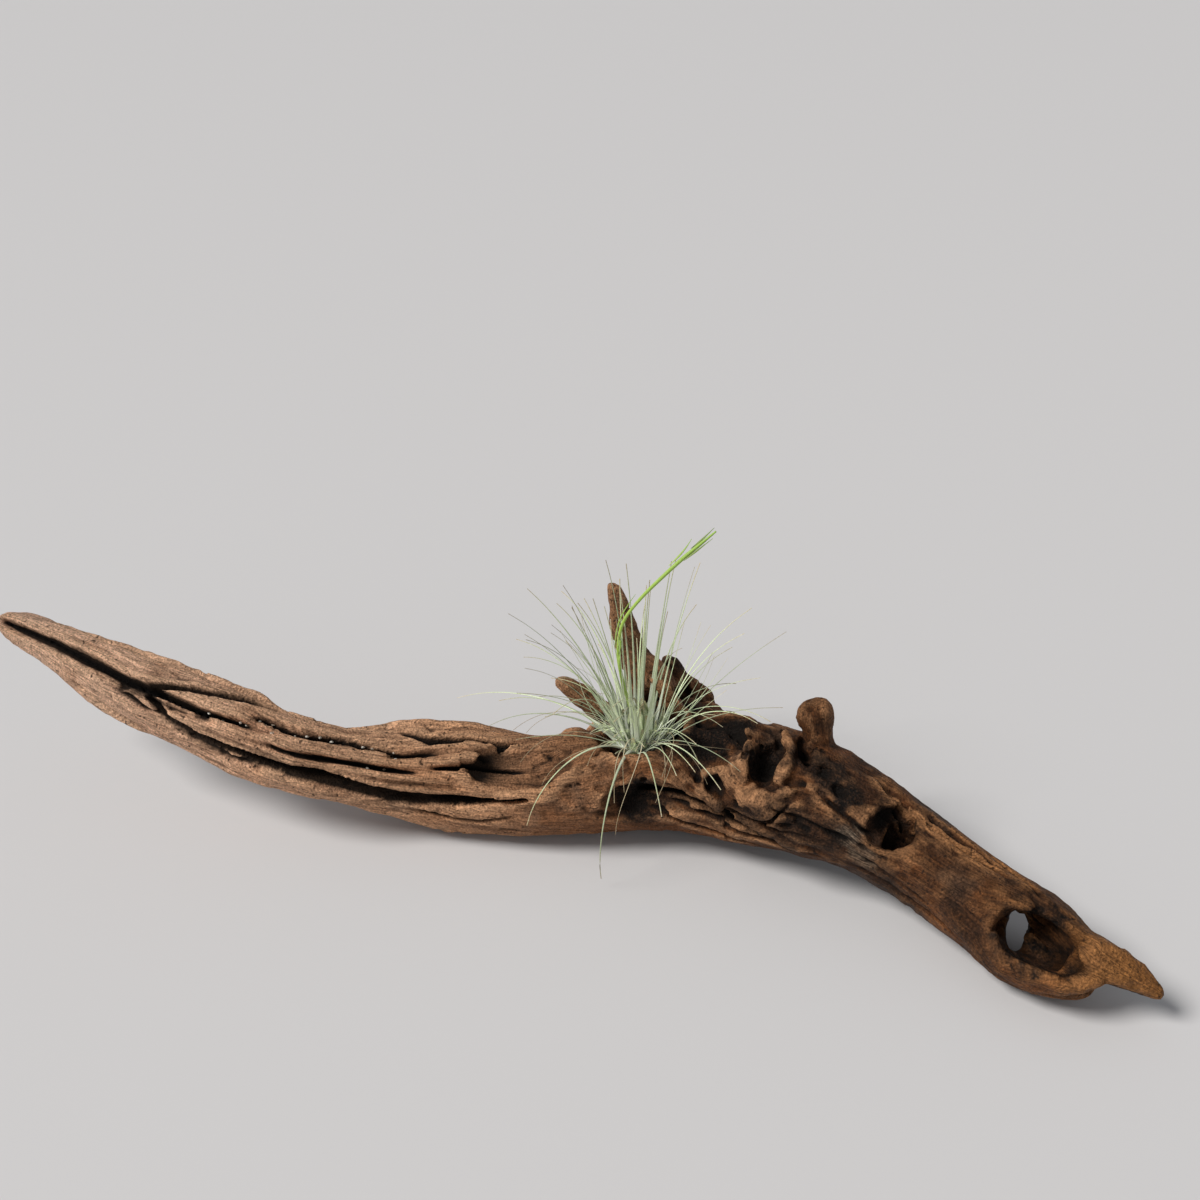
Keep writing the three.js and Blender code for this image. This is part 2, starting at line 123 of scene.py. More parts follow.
def noise(points, wavelength, seed):
    """Smooth noise from -1 to 1 at the points, with a wavelength along each axis in millimetres."""
    p = (points / np.asarray(wavelength, np.float32)).astype(np.float32)
    cell = np.floor(p)
    f = p - cell
    f = f * f * f * (f * (f * 6 - 15) + 10)
    i, j, k = (cell[:, n].astype(np.int64) for n in range(3))
    total = np.zeros(len(p), np.float32)
    for a in (0, 1):
        for b in (0, 1):
            for c in (0, 1):
                weight = (
                    (f[:, 0] if a else 1 - f[:, 0])
                    * (f[:, 1] if b else 1 - f[:, 1])
                    * (f[:, 2] if c else 1 - f[:, 2])
                )
                total += weight * lattice(i + a, j + b, k + c, seed)
    return total


def ramp(value, low, high):
    """Goes smoothly from 0 at low to 1 at high."""
    t = np.clip((value - low) / (high - low), 0, 1)
    return t * t * (3 - 2 * t)


print("noise at the seat:", noise(SEAT_DRAWN[None], (17, 13, 13), 1).round(3))

# %% [markdown]
# ## The grain
# Fibres run along every limb, and swing round knots and holes as water swings round a stone. So
# each limb has a centre line, and a point's grain coordinates are how far along the line it is and
# its place around it. Around each knot the place is pushed aside, which bends the fibres.

# %% Grain coordinates
TRUNK = [
    # x, y, z, radius
    (-322, -33, 78, 6), (-304, -35, 77, 10), (-283, -38, 75, 12), (-229, -46, 64, 17),
    (-185, -45, 53, 20), (-141, -42, 41, 20), (-106, -30, 33, 21), (-69, -15, 26, 25),
    (-29, -5, 24, 25), (17, 11, 28, 26), (65, 21, 35, 30), (107, 11, 37, 27), (146, 1, 32, 22),
    (184, -17, 24, 21), (218, -34, 19, 20), (229, -38, 16, 14), (262, -38, 12, 6),
]  # fmt: skip
LIMBS = {
    "horn": [(10, 54, 30, 12), (1, 55, 68, 8), (-8, 54.5, 94, 6), (-12.6, 54, 113, 4)],
    "left_stub": [(4, 40, 36, 9), (-15, 30, 54.5, 6.5), (-32, 23, 71, 4.5)],
    "strut": [(46, 10, 30, 11), (33, 29, 54, 7), (13, 48, 67, 6.5), (2, 55, 70, 6)],
    "tube_stub": [(30, 68, 22, 12), (16, 70, 56, 8), (12, 69.5, 64, 7)],
    "nub": [(36, 68, 24, 9), (31, 72, 38, 7.5), (27, 73, 50, 5)],
    "back_root": [(30, 50, 16, 15), (38, 78, 9, 10), (41, 86, 7, 7)],
    "knob": [(106, 16, 44, 14), (103.5, 23, 61, 8), (98, 23.8, 86, 8)],
}
GRAIN_RADIUS = 22.0
# The limbs' own lengths start past the end of the trunk's, so that no pattern runs on into them.
LIMB_START = 900
LIMB_STEP = 150
# Knots and holes that the fibres flow round: place along x, degrees up from the front, radius.
KNOTS = [
    (88, 28, 7), (82, 60, 10), (53, 64, 11), (141, 52, 9), (26, 14, 14), (208, 30, 14), (60, 30, 6),
]  # fmt: skip


def along_line(points, line):
    """For each point: how far along the line, the centre there, the radius and the distance."""
    knots = np.array(line, np.float32)
    best = np.full(len(points), np.inf, np.float32)
    far = np.zeros(len(points), np.float32)
    centre = np.zeros((len(points), 3), np.float32)
    radius = np.zeros(len(points), np.float32)
    walked = 0.0
    for start, end in zip(knots, knots[1:]):
        step = end[:3] - start[:3]
        length = float(np.linalg.norm(step))
        t = np.clip(((points - start[:3]) @ step) / length**2, 0, 1)
        spot = start[:3] + t[:, None] * step
        distance = np.linalg.norm(points - spot, axis=1)
        nearer = distance < best
        best[nearer] = distance[nearer]
        far[nearer] = walked + t[nearer] * length
        centre[nearer] = spot[nearer]
        radius[nearer] = start[3] + t[nearer] * (end[3] - start[3])
        walked += length
    return far, centre, radius, best


def trunk_angle(points, centre):
    """The angle around the trunk: 0 at the front, growing upwards."""
    out = points - centre
    return np.arctan2(out[:, 2], -out[:, 1])


def grain_of(points):
    """Grain coordinates in millimetres: along, and two across that go round with the angle."""
    far, centre, radius, distance = along_line(points, TRUNK)
    angle = trunk_angle(points, centre)
    x = centre[:, 0]
    for knot_x, degrees, size in KNOTS:
        across = (angle - math.radians(degrees)) * GRAIN_RADIUS
        push = size**2 / ((x - knot_x) ** 2 + across**2 + 0.35 * size**2)
        angle = angle - across * np.minimum(push, 0.9) / GRAIN_RADIUS
    grain = np.stack([far, np.cos(angle) * GRAIN_RADIUS, np.sin(angle) * GRAIN_RADIUS], 1)
    share = distance / (radius * 1.15)
    for number, line in enumerate(LIMBS.values()):
        limb_far, limb_centre, limb_radius, limb_distance = along_line(points, line)
        own = limb_distance / limb_radius
        mine = own < share
        share[mine] = own[mine]
        across = (points - limb_centre)[mine] * 1.3
        axis = np.array(line[-1][:3]) - np.array(line[0][:3])
        side = np.cross(axis, [1.0, 0.3, 0.2])
        side /= np.linalg.norm(side)
        up = np.cross(axis, side) / np.linalg.norm(axis)
        grain[mine] = np.stack(
            [limb_far[mine] + LIMB_START + LIMB_STEP * number, across @ side, across @ up], 1
        )
    return grain.astype(np.float32)


print("grain at the seat (mm):", grain_of(SEAT_DRAWN[None].astype(np.float32)).round(1))

# %% [markdown]
# ## Carving the wood
# A weathered surface folds over itself, so it can't be a height on top of the CAD surface. It is
# carved as a volume instead. The CAD solid becomes a grid of distances to its surface. The joints
# are blurred until they flow, noise bends the form, ridges are melted on and hollows melted out,
# and then the cracks and the worn fibres are cut along the grain. The surface of that volume is
# the finished mesh.

# %% The CAD solid as a volume
VOXEL = 0.9  # mm
REACH = 9.0  # mm: how far from the surface distances are kept


def merged_copy(node):
    """The node's triangles as points in millimetres and whole triangles."""
    mesh = bpy.data.objects[node].data
    points = np.empty(len(mesh.vertices) * 3, np.float32)
    mesh.vertices.foreach_get("co", points)
    mesh.calc_loop_triangles()
    corners = np.empty(len(mesh.loop_triangles) * 3, np.int32)
    mesh.loop_triangles.foreach_get("vertices", corners)
    points = points.reshape(-1, 3) * 1000
    kept, place = np.unique(points.round(3), axis=0, return_inverse=True)
    return kept.astype(np.float32), place.reshape(-1)[corners].reshape(-1, 3)


wood_points, wood_faces = merged_copy("driftwood")
low = np.floor((wood_points.min(0) - 8) / VOXEL).astype(int)
high = np.ceil((wood_points.max(0) + 8) / VOXEL).astype(int)
volume = openvdb.FloatGrid.createLevelSetFromPolygons(
    wood_points,
    triangles=wood_faces.astype(np.uint32),
    transform=openvdb.createLinearTransform(voxelSize=VOXEL),
    halfWidth=REACH / VOXEL,
)
field = np.empty(high - low, np.float32)
volume.copyToArray(field, ijk=tuple(int(v) for v in low))
print("wood volume:", field.shape, "from", len(wood_faces), "triangles")


def blur(values, sigma):
    """Blurs a volume by a distance in millimetres, one axis after the other."""
    reach = max(1, round(2.2 * sigma / VOXEL))
    weights = np.exp(-0.5 * (np.arange(-reach, reach + 1) * VOXEL / sigma) ** 2)
    weights = (weights / weights.sum()).astype(np.float32)
    for axis in range(3):
        padding = [(reach, reach) if n == axis else (0, 0) for n in range(3)]
        padded = np.pad(values, padding, mode="edge")
        size = values.shape[axis]
        values = sum(
            weight * padded[(slice(None),) * axis + (slice(n, n + size),)]
            for n, weight in enumerate(weights)
        )
    return values


def sample(values, points):
    """Reads a volume between its grid points."""
    p = points / VOXEL - low
    p = np.clip(p, 0, np.array(values.shape) - 1.001)
    cell = p.astype(np.int32)
    f = (p - cell).astype(np.float32)
    flat = values.reshape(-1)
    row, layer = values.shape[2], values.shape[1] * values.shape[2]
    start = cell[:, 0] * layer + cell[:, 1] * row + cell[:, 2]
    total = np.zeros(len(p), np.float32)
    for a in (0, 1):
        for b in (0, 1):
            for c in (0, 1):
                weight = (
                    (f[:, 0] if a else 1 - f[:, 0])
                    * (f[:, 1] if b else 1 - f[:, 1])
                    * (f[:, 2] if c else 1 - f[:, 2])
                )
                total += weight * flat[start + a * layer + b * row + c]
    return total


# %% Ridges, hollows and cracks
# Ridges and rims: points of a line with a radius at each, in the drawn frame.
RIDGES = [
    # the front rail that sweeps up into the rim of the plant's seat
    [(-40, -32, 34, 2.5), (-22, -26, 37, 4), (4, -5, 49, 3.5), (36, 3, 49, 4), (62, -10, 40, 3)],
    # the wall between the seat and the dished shoulder
    [(37, 6, 50, 3), (39, 18, 57, 2.6), (37, 29, 58, 2.6)],
    # the loop around the small hole
    [(52, -2, 51, 1.8), (57, 0, 53, 2), (62, -2, 52, 2), (65, -4, 49, 1.6)],
    # the walls of the folded ear
    [(67, 16, 66, 2), (70, 6, 61, 2), (73, -2, 55, 2)],
    [(86, 19, 68, 2.2), (91, 10, 66, 2.6), (92, 2, 63, 3), (89, -4, 57, 3)],
    # the nose and the swirl under the ear
    [(73, -9, 46, 3), (79, -10, 49, 4), (86, -10, 48, 3.4)],
    [(88, -14, 43, 1.6), (95, -13, 46, 2), (100, -9, 51, 2)],
    [(90, -11, 52, 1.4), (96, -6, 57, 1.8), (106, -4, 58, 1.6)],
    # the flare that runs down from the knob
    [(106, 20, 58, 6), (116, 14, 58, 5), (130, 6, 55, 3.5)],
    [(100, 20, 62, 4), (96, 27, 60, 4.5)],
    # the burr on the lower edge of the ragged hole
    [(144, -12, 45, 2.4), (147, -12, 47, 2)],
    # the roll around the mouth of the hollow arm, with a burr at its end, and the tongue inside
    [(192, -41, 31, 1.5), (205, -48, 24, 3), (220, -51, 19, 4), (228, -48, 20, 3.5)],
    [(226, -49, 21, 3), (232, -45, 23, 4)],
    [(190, -29, 42, 1.5), (214, -40, 37, 2), (226, -42, 30, 2)],
    [(199, -23, 40, 3.5), (200, -23, 31, 3.5), (213, -31, 13, 3)],
    # the blunt beak
    [(233, -38, 29, 7), (241, -38, 26, 7.2), (249, -37, 22, 6.2), (256, -38, 17, 4.0)],
]  # fmt: skip

# Hollows: centre, radii, turn about X and Z in degrees.
HOLLOWS = [
    ((52, 10, 64), (12, 14, 8), 22, 8),  # dished shoulder
    ((64, 20, 69), (7, 5, 4), 10, 0),
    ((80, 7, 62), (6.2, 11, 11), 24, -8),  # folded ear
    ((81, 1, 56), (3.6, 5, 5), 24, -8),
    ((95, 16, 66), (2.4, 7, 7), -10, 20),  # gap beside the knob
    ((108, 4, 62), (7, 3.4, 3), 10, -20),
    ((117, -3, 58), (5, 3.4, 3), 20, -20),
    ((23, -11, 34), (11, 8, 8), 10, 20),  # under the rim
    ((38, -8, 37), (10, 5, 4.4), 20, 8),
    ((12, -20, 28), (7, 4, 3.4), 0, 30),
    ((57, -3, 48), (3.4, 4, 3.4), 20, 10),  # small hole below the shoulder
    ((70, -9, 42), (4, 3, 3), 10, -10),
    ((-33, -21, 48), (20, 7, 4), 30, 14),  # scooped end of the flutes
    ((143, -7, 50), (10, 8, 8), 35, 12),  # ragged hole
    ((136, -11, 48), (4, 4, 4), 35, 12),
    ((175, -38, 33), (10, 5, 3.4), 30, -35),  # worn dent
    ((163, -31, 37), (4, 3, 2), 30, -35),
    ((208, -42, 32), (17, 11, 13), 30, -18),  # mouth of the hollow arm
    ((97, 22, 93), (3, 3, 3), 0, 0),  # dent on the knob
    ((30, 44, 58), (9, 7, 7), 0, 20),
    ((16, 45, 53), (8, 6, 8), 0, 0),
    ((-8, 26, 46), (5, 4, 6), 0, 0),
    ((241, -46, 15), (9, 4, 3), 20, -8),  # wedge under the beak
]

# Cracks along the trunk: [x, degrees up from the front, half width] points, depth, and how far the
# upper side stands proud of the lower.
CRACKS = [
    # the long split of the left arm, which opens wide towards the tip, and its upper branch
    ([(-320, 50, 1.5), (-300, 45, 2.5), (-245, 55, 2.5), (-190, 50, 1.5), (-165, 60, 1.0)], 11, 1.5),
    ([(-170, 70, 1.0), (-125, 85, 1.5), (-90, 65, 1.0)], 6, 1.0),
    # under the torn flap
    ([(-225, 55, 1.0), (-190, 80, 2.5), (-170, 100, 3.5), (-155, 105, 2.0)], 9, 2.5),
    # above the lower rail
    ([(-220, 40, 1.5), (-205, 20, 2.0), (-185, 10, 2.0), (-130, 15, 3.0), (-95, 5, 2.5),
      (-70, 5, 2.0), (-30, 25, 1.5)], 10, 1.0),
    # the step between the two middle slabs, and the splits where the slabs end
    ([(-165, 40, 1.5), (-115, 45, 2.0), (-85, 40, 1.5)], 2.5, 1.5),
    ([(-85, 50, 1.0), (-60, 60, 1.5), (-35, 60, 1.0)], 4, 0.5),
    ([(-100, 110, 1.5), (-85, 90, 2.5), (-50, 90, 1.5), (-40, 95, 1.0)], 6, 1.5),
    # shallow flutes on the slabs
    ([(-240, 30, 1.5), (-215, 15, 1.5)], 1.2, 0.2),
    ([(-190, 25, 1.5), (-100, 25, 2.0), (-60, 30, 2.0)], 1.6, 0.2),
    ([(-110, 60, 1.5), (-80, 75, 2.0), (-50, 75, 1.5)], 1.8, 0.3),
    ([(-250, 80, 1.5), (-215, 80, 1.5), (-190, 105, 1.5)], 0.9, 0.3),
    # under and along the lower rail
    ([(-260, -10, 1.0), (-230, -45, 2.0), (-220, -50, 1.5)], 6, 1.2),
    ([(-205, -35, 1.0), (-130, -35, 1.0)], 2.0, 0.5),
    ([(-100, -25, 1.0), (-55, -15, 1.5), (-35, 0, 1.0)], 1.8, 0.5),
    ([(-150, -60, 1.5), (-30, -50, 1.5)], 2.5, 0.6),
    # worn fibres below the seat's rim, which run on along the front of the burl
    ([(10, 5, 1.5), (20, 30, 2.5), (35, 20, 2.0), (60, 0, 1.5), (80, -10, 1.5),
      (100, -20, 1.0)], 6, 1.2),
    ([(25, 10, 1.0), (55, -5, 1.5), (80, -20, 1.5), (110, -25, 1.0)], 3.2, 0.8),
    ([(20, -5, 1.0), (30, -5, 1.5), (40, -20, 1.5), (90, -40, 1.0)], 3.0, 0.6),
    ([(65, 5, 1.0), (85, 0, 1.5), (95, 10, 1.5), (105, 40, 1.0)], 3.0, 1.0),
    ([(85, -5, 1.0), (120, 5, 1.0)], 1.6, 0.5),
    ([(90, 25, 1.0), (130, 15, 1.0)], 1.8, 0.5),
    ([(110, 50, 1.5), (135, 35, 1.0)], 2.6, 0.6),
    # the right arm's upper edge
    ([(120, 105, 1.0), (150, 85, 1.5), (175, 85, 2.0), (190, 90, 1.0)], 5, 1.0),
    ([(160, 130, 1.0), (175, 120, 1.5), (205, 95, 1.0)], 4, 0.8),
    ([(150, 100, 1.0), (190, 100, 1.0)], 2.4, 0.6),
    ([(125, 5, 1.0), (175, 0, 1.0)], 1.2, 0.3),
    ([(130, -15, 1.0), (160, -20, 1.0), (190, -10, 1.0)], 1.5, 0.3),
    # the side that faces away, and the underside
    ([(-290, 120, 1.5), (-200, 125, 2.0), (-100, 120, 1.5)], 8, 1.0),
    ([(-270, 205, 1.5), (-180, 190, 2.5), (-80, 200, 1.5)], 8, 1.0),
    ([(-120, 160, 2.0), (-40, 160, 2.5), (10, 160, 1.5)], 9, 1.0),
    ([(70, 170, 1.5), (130, 165, 2.5), (210, 175, 1.5)], 9, 1.0),
    ([(90, 205, 1.5), (190, 215, 2.0)], 6, 0.8),
    ([(-240, 160, 1.5), (-150, 150, 1.5)], 5, 0.6),
    ([(20, 185, 1.5), (80, 200, 2.0)], 5, 0.6),
]  # fmt: skip

# Dark patches, then bleached grey stains: centre, radius and strength. The dark patches are
# painted shade in the seat's pocket, the mouth, the holes, the dent and the stub's hollow, under
# the rim and under the beak, and darker patches on the burl's face and the right arm's front.
DARK_STAINS_AND_SHADE = [
    ((49, 14, 58), 15, 1.0), ((62, 20, 63), 10, 1.0), ((79, 7, 58), 11, 1.0), ((98, 8, 64), 9, 0.9),
    ((112, 3, 62), 10, 0.9), ((119, -3, 57), 9, 1.0), ((92, -11, 50), 7, 0.8),
    ((102, -13, 46), 10, 0.8), ((112, -15, 42), 12, 0.8), ((124, -15, 47), 6, 0.8),
    ((24, -10, 33), 13, 1.0), ((40, -8, 36), 8, 0.7), ((60, -9, 36), 9, 0.7),
    ((78, -12, 38), 10, 0.8), ((95, -15, 36), 12, 0.7), ((58, -4, 47), 6, 0.8),
    ((175, -37, 32), 11, 0.6), ((150, -22, 26), 14, 0.4), ((190, -40, 20), 12, 0.3),
    ((27, 18, 44), 17, 1.0), ((208, -38, 30), 16, 1.0), ((98, 22, 94), 4, 1.0),
    ((143, -6, 49), 10, 1.0), ((16, 69, 58), 8, 0.6), ((241, -45, 14), 6, 1.0),
    ((248, -42, 12), 5, 1.0),
]  # fmt: skip
GREY_STAINS = [((125, -16, 44), 6, 0.7), ((131, -17, 36), 6, 0.6)]
print("stains:", len(DARK_STAINS_AND_SHADE), "dark,", len(GREY_STAINS), "grey")



# %% Joining and cutting solids
def melt_on(value, other, soft):
    """Joins two solids with a fillet."""
    h = np.clip(0.5 + 0.5 * (value - other) / soft, 0, 1)
    return value + (other - value) * h - soft * h * (1 - h)


def melt_out(value, other, soft):
    """Cuts the second solid out of the first, with a rounded edge."""
    return -melt_on(-value, other, soft)


def ridge_distance(points, line):
    """How far each point is outside a ridge: a line with a radius at each of its points."""
    _, _, radius, distance = along_line(points, line)
    return distance - radius


def hollow_distance(points, centre, radii, turn_x, turn_z):
    """About how far each point is outside a turned ellipsoid."""
    a, b = math.radians(turn_x), math.radians(turn_z)
    about_x = np.array([[1, 0, 0], [0, math.cos(a), -math.sin(a)], [0, math.sin(a), math.cos(a)]])
    about_z = np.array([[math.cos(b), -math.sin(b), 0], [math.sin(b), math.cos(b), 0], [0, 0, 1]])
    local = (points - np.array(centre)) @ (about_z @ about_x) / np.array(radii)
    reach = np.linalg.norm(local, axis=1)
    return (reach - 1) * min(radii)


def near(points, centre, reach):
    """Which points lie in the box around a centre."""
    return (np.abs(points - np.array(centre)) < reach).all(axis=1)


print("a 2 mm solid melted on to a 1 mm one:", melt_on(np.array([1.0]), np.array([2.0]), 3.4))

# %% [markdown]
# ## The form
# The blurred solid gets a slow wander, so that no stretch stays straight. Then every ridge is
# melted on and every hollow melted out with the same wander, which keeps their edges uneven.

# %% Carve the form
field = blur(np.clip(field, -REACH, REACH), 1.3)
uncarved = field.copy()
band = np.argwhere((field > -REACH + 0.5) & (field < 4.5))
part_points = ((band + low) * VOXEL).astype(np.float32)
points = part_points - SHIFT.astype(np.float32)
print("points near the surface:", len(points))

# How gnarled each place is: 0 on the arms, 1 in the burl.
gnarl = np.exp(-(((points[:, 0] - 62) / 62) ** 2)) * ramp(points[:, 2], 20, 45)
wander = np.stack([noise(points, (17, 13, 13), seed) for seed in (1, 2, 3)], 1)
wander += 0.5 * np.stack([noise(points, (8, 7, 7), seed) for seed in (4, 5, 6)], 1)
bent = part_points + wander * (0.7 + 1.7 * gnarl[:, None])
value = sample(field, bent)

for line in RIDGES:
    middle = np.array(line)[:, :3]
    reach = (middle.max(0) - middle.min(0)) / 2 + 14
    here = near(points, (middle.max(0) + middle.min(0)) / 2, reach)
    rough = points[here] + 1.3 * wander[here]
    value[here] = melt_on(value[here], ridge_distance(rough, line), 3.4)
for centre, radii, turn_x, turn_z in HOLLOWS:
    here = near(points, centre, max(radii) + 10)
    rough = points[here] + 1.7 * wander[here]
    value[here] = melt_out(value[here], hollow_distance(rough, centre, radii, turn_x, turn_z), 1.6)

print("ridges:", len(RIDGES), "hollows:", len(HOLLOWS))

# %% [markdown]
# ## The cracks
# Wood splits along its fibres as it dries. A split is a slot with steep walls that follows the
# trunk at a slowly changing angle, wobbles a little and closes at both ends. One side of it often
# stands higher than the other, so the upper side is raised and falls off over a few millimetres.

# %% Carve the cracks
far, centre, radius, distance = along_line(points, TRUNK)
angle = trunk_angle(points, centre)
grain = grain_of(points)
on_trunk = (1 - ramp(distance / radius, 1.4, 1.7)) * (grain[:, 0] < LIMB_START - 10)
x = centre[:, 0]
wobble = noise(points, (24, 24, 24), 11) * 0.6 + noise(points, (9, 9, 9), 12) * 0.4
cut = np.zeros(len(points), np.float32)
for run, depth, proud in CRACKS:
    run = np.array(run, np.float32)
    middle = np.radians(np.interp(x, run[:, 0], run[:, 1]))
    fade = min(16.0, 0.2 * float(run[-1, 0] - run[0, 0]))
    ends = ramp(x, run[0, 0] - 2, run[0, 0] + fade) * (1 - ramp(x, run[-1, 0] - fade, run[-1, 0] + 2))
    off = angle - middle
    off = np.arctan2(np.sin(off), np.cos(off)) * radius + wobble
    width = np.interp(x, run[:, 0], run[:, 2]) * (1 + 0.3 * noise(grain, (16, 40, 40), 13))
    slot = depth * ends * np.exp(-np.abs(off / width) ** 5)
    cut = np.maximum(cut, slot)
    cut -= proud * ends * ramp(off, width, width + 1.5) * np.exp(-np.maximum(off, 0) / 6)
value += cut * on_trunk
print("cracks:", len(CRACKS), "deepest cut (mm):", round(float(cut.max()), 1))

# %% [markdown]
# ## The worn fibres
# Sand wears the soft early wood away and leaves the hard rings standing. So the surface is fluted
# at three widths along the grain, split by fine checks, and pitted. The burl, whose fibres are
# knotted, is the roughest, and the knob, which is polished by handling, the smoothest.

# %% Carve the fibres
arm = 1 - ramp(points[:, 0], -60, 20)
fluted = 0.5 + 0.1 * arm + 0.6 * gnarl
knob_start = LIMB_START + LIMB_STEP * list(LIMBS).index("knob")
polished = np.where(grain[:, 0] > knob_start, 0.3, 1.0)
fluted *= polished
flutes = noise(grain, (60, 7, 7), 21)
bands = noise(grain, (30, 3.6, 3.6), 22)
fibres = noise(grain, (14, 2.6, 2.6), 23)
splits = np.abs(noise(grain, (70, 8, 8), 24) + 0.35 * noise(grain, (16, 5, 5), 25))
split_gate = ramp(noise(grain, (40, 12, 12), 26), 0.0, 0.5)
value += fluted * (0.5 * flutes + 0.42 * bands + 0.4 * fibres)
value += (1.1 + 1.1 * gnarl) * polished * split_gate * np.exp(-((splits / 0.12) ** 2))
lumps = noise(points, (6, 5, 5), 31) + 0.7 * noise(points, (3, 2.8, 2.8), 32)
pits = ramp(noise(points, (5, 3.4, 3.4), 33), 0.45, 0.8)
value += polished * gnarl * (0.6 * lumps + 1.8 * pits) + 0.2 * lumps + 0.5 * pits

value = np.maximum(value, -part_points[:, 2])
field[tuple(band.T)] = value
print("share of the band that is wood:", round(float((value < 0).mean()), 2))

# %% [markdown]
# ## From volume to mesh
# The volume's surface is drawn out as faces, loose crumbs that the carving cut free are dropped,
# and the mesh is thinned where it is flat. For the material it stores the grain coordinates and how
# deep each place lies in a crack or hollow, which a blurred copy of the volume tells: the finish
# paints shade into the deep places and a highlight onto the crests.



# %% From volume to triangles
def largest_part(points, faces):
    """Keeps the faces that hang together with most of the others."""
    label = np.arange(len(points))
    edges = np.concatenate([faces[:, [0, 1]], faces[:, [1, 2]]])
    while True:
        least = np.minimum(label[edges[:, 0]], label[edges[:, 1]])
        before = label.copy()
        np.minimum.at(label, edges[:, 0], least)
        np.minimum.at(label, edges[:, 1], least)
        label = label[label]
        if (label == before).all():
            break
    names, counts = np.unique(label[faces[:, 0]], return_counts=True)
    kept = faces[label[faces[:, 0]] == names[counts.argmax()]]
    used, place = np.unique(kept, return_inverse=True)
    print("crumbs dropped:", len(names) - 1)
    return points[used], place.reshape(-1, 3)


carved = openvdb.FloatGrid(REACH)
carved.transform = openvdb.createLinearTransform(voxelSize=VOXEL)
carved.copyFromArray(field, ijk=tuple(int(v) for v in low))
skin_points, _, skin_quads = carved.convertToPolygons(0.0)
skin_faces = np.concatenate([skin_quads[:, [0, 1, 2]], skin_quads[:, [0, 2, 3]]]).astype(np.int64)
skin_points, skin_faces = largest_part(skin_points, skin_faces)
print("carved surface:", len(skin_faces), "triangles")

# %% The wood's mesh
MOST_TRIANGLES = 190_000


def make_object(name, points_m, faces):
    """An object made of points in metres and faces."""
    mesh = bpy.data.meshes.new(name)
    mesh.from_pydata(np.asarray(points_m).tolist(), [], np.asarray(faces).tolist())
    mesh.validate()
    piece = bpy.data.objects.new(name, mesh)
    bpy.context.scene.collection.objects.link(piece)
    return piece


def bake(piece, name):
    """Turns what the modifiers make into a plain mesh, and removes them."""
    made = piece.evaluated_get(bpy.context.evaluated_depsgraph_get())
    mesh = bpy.data.meshes.new_from_object(made)
    piece.modifiers.clear()
    finished = bpy.data.objects.new(name, mesh)
    bpy.context.scene.collection.objects.link(finished)
    bpy.data.objects.remove(piece)
    return finished


raw = make_object("raw_wood", skin_points / 1000, skin_faces)
thin = raw.modifiers.new("thin", "DECIMATE")
thin.ratio = min(1.0, MOST_TRIANGLES / len(skin_faces))
wood = bake(raw, "weathered_wood")
# On a closed mesh whose faces point outwards, the faces higher up point up more often.
if sum(face.normal.z * face.center.z for face in list(wood.data.polygons)[::50]) < 0:
    wood.data.flip_normals()
wood.data.shade_smooth()
print("wood:", len(wood.data.polygons), "faces")

# %% Depths at the mesh's points
spots = np.empty(len(wood.data.vertices) * 3, np.float32)
wood.data.vertices.foreach_get("co", spots)
spots = spots.reshape(-1, 3) * 1000
deep = np.clip(field, -REACH, REACH)
near_depth = sample(blur(deep, 2.2), spots)
wide_depth = sample(blur(deep, 5.5), spots)
# painted shade in the cuts: the deeper a point lies under the uncarved surface, the darker it is painted
buried = np.clip((-sample(uncarved, spots) - 0.8) / 2.8, 0, 1)
hollow = np.clip(0.5 - near_depth / 3.0, 0, 1)
# how deep a place lies in a wide hollow: it drives painted shade there, and marks the splits for sand
sunken = np.clip(0.5 - wide_depth / 7.0, 0, 1)
drawn = spots - SHIFT.astype(np.float32)
# The great splits of the left arm are painted darker and wider than the cuts: painted shade also
# falls on what lies well inside the round of the arm.
_, middle, arm_radius, off_centre = along_line(drawn, TRUNK)
facing = np.degrees(trunk_angle(drawn, middle))
in_arm_split = ramp(arm_radius - off_centre, 3.0, 6.0) * (1 - ramp(drawn[:, 0], -60, -30))
in_arm_split *= ramp(facing, -30, -20) * (1 - ramp(facing, 110, 120))
buried = np.maximum(buried, in_arm_split)
print("near depths (mm):", np.percentile(near_depth, [2, 25, 50, 75, 98]).round(2))
print("wide depths (mm):", np.percentile(wide_depth, [2, 25, 50, 75, 98]).round(2))

# %% Dark patches with their painted shade, grey stains, and everything the finish reads from the mesh
blotch = 0.3 * noise(drawn, (7, 6, 6), 41) + 0.25 * noise(drawn, (2.6, 2.4, 2.4), 42)


def patch_strength(stains):
    """How strong the listed patches are at each of the wood's points, with torn edges."""
    total = np.zeros(len(drawn), np.float32)
    for centre, radius, strength in stains:
        reach = np.linalg.norm(drawn - np.array(centre, np.float32), axis=1) / radius
        total = np.maximum(total, strength * ramp(1.25 - reach + blotch, 0.0, 0.6))
    return total


# the depths stored here drive the painted highlight on the crests and the painted shade in grooves,
# splits and hollows
for name, kind, values in (
    ("grain", "FLOAT_VECTOR", grain_of(drawn)),
    ("buried", "FLOAT", buried),
    ("dark", "FLOAT", patch_strength(DARK_STAINS_AND_SHADE)),
    ("grey", "FLOAT", patch_strength(GREY_STAINS)),
    ("crest", "FLOAT", np.clip(0.5 + near_depth / 3.0, 0, 1)),
    ("sunken", "FLOAT", sunken),
):
    layer = wood.data.attributes.new(name, kind, "POINT")
    layer.data.foreach_set("vector" if kind == "FLOAT_VECTOR" else "value", values.reshape(-1))
print("stored on the wood:", [layer.name for layer in wood.data.attributes if layer.name[0] != "."])
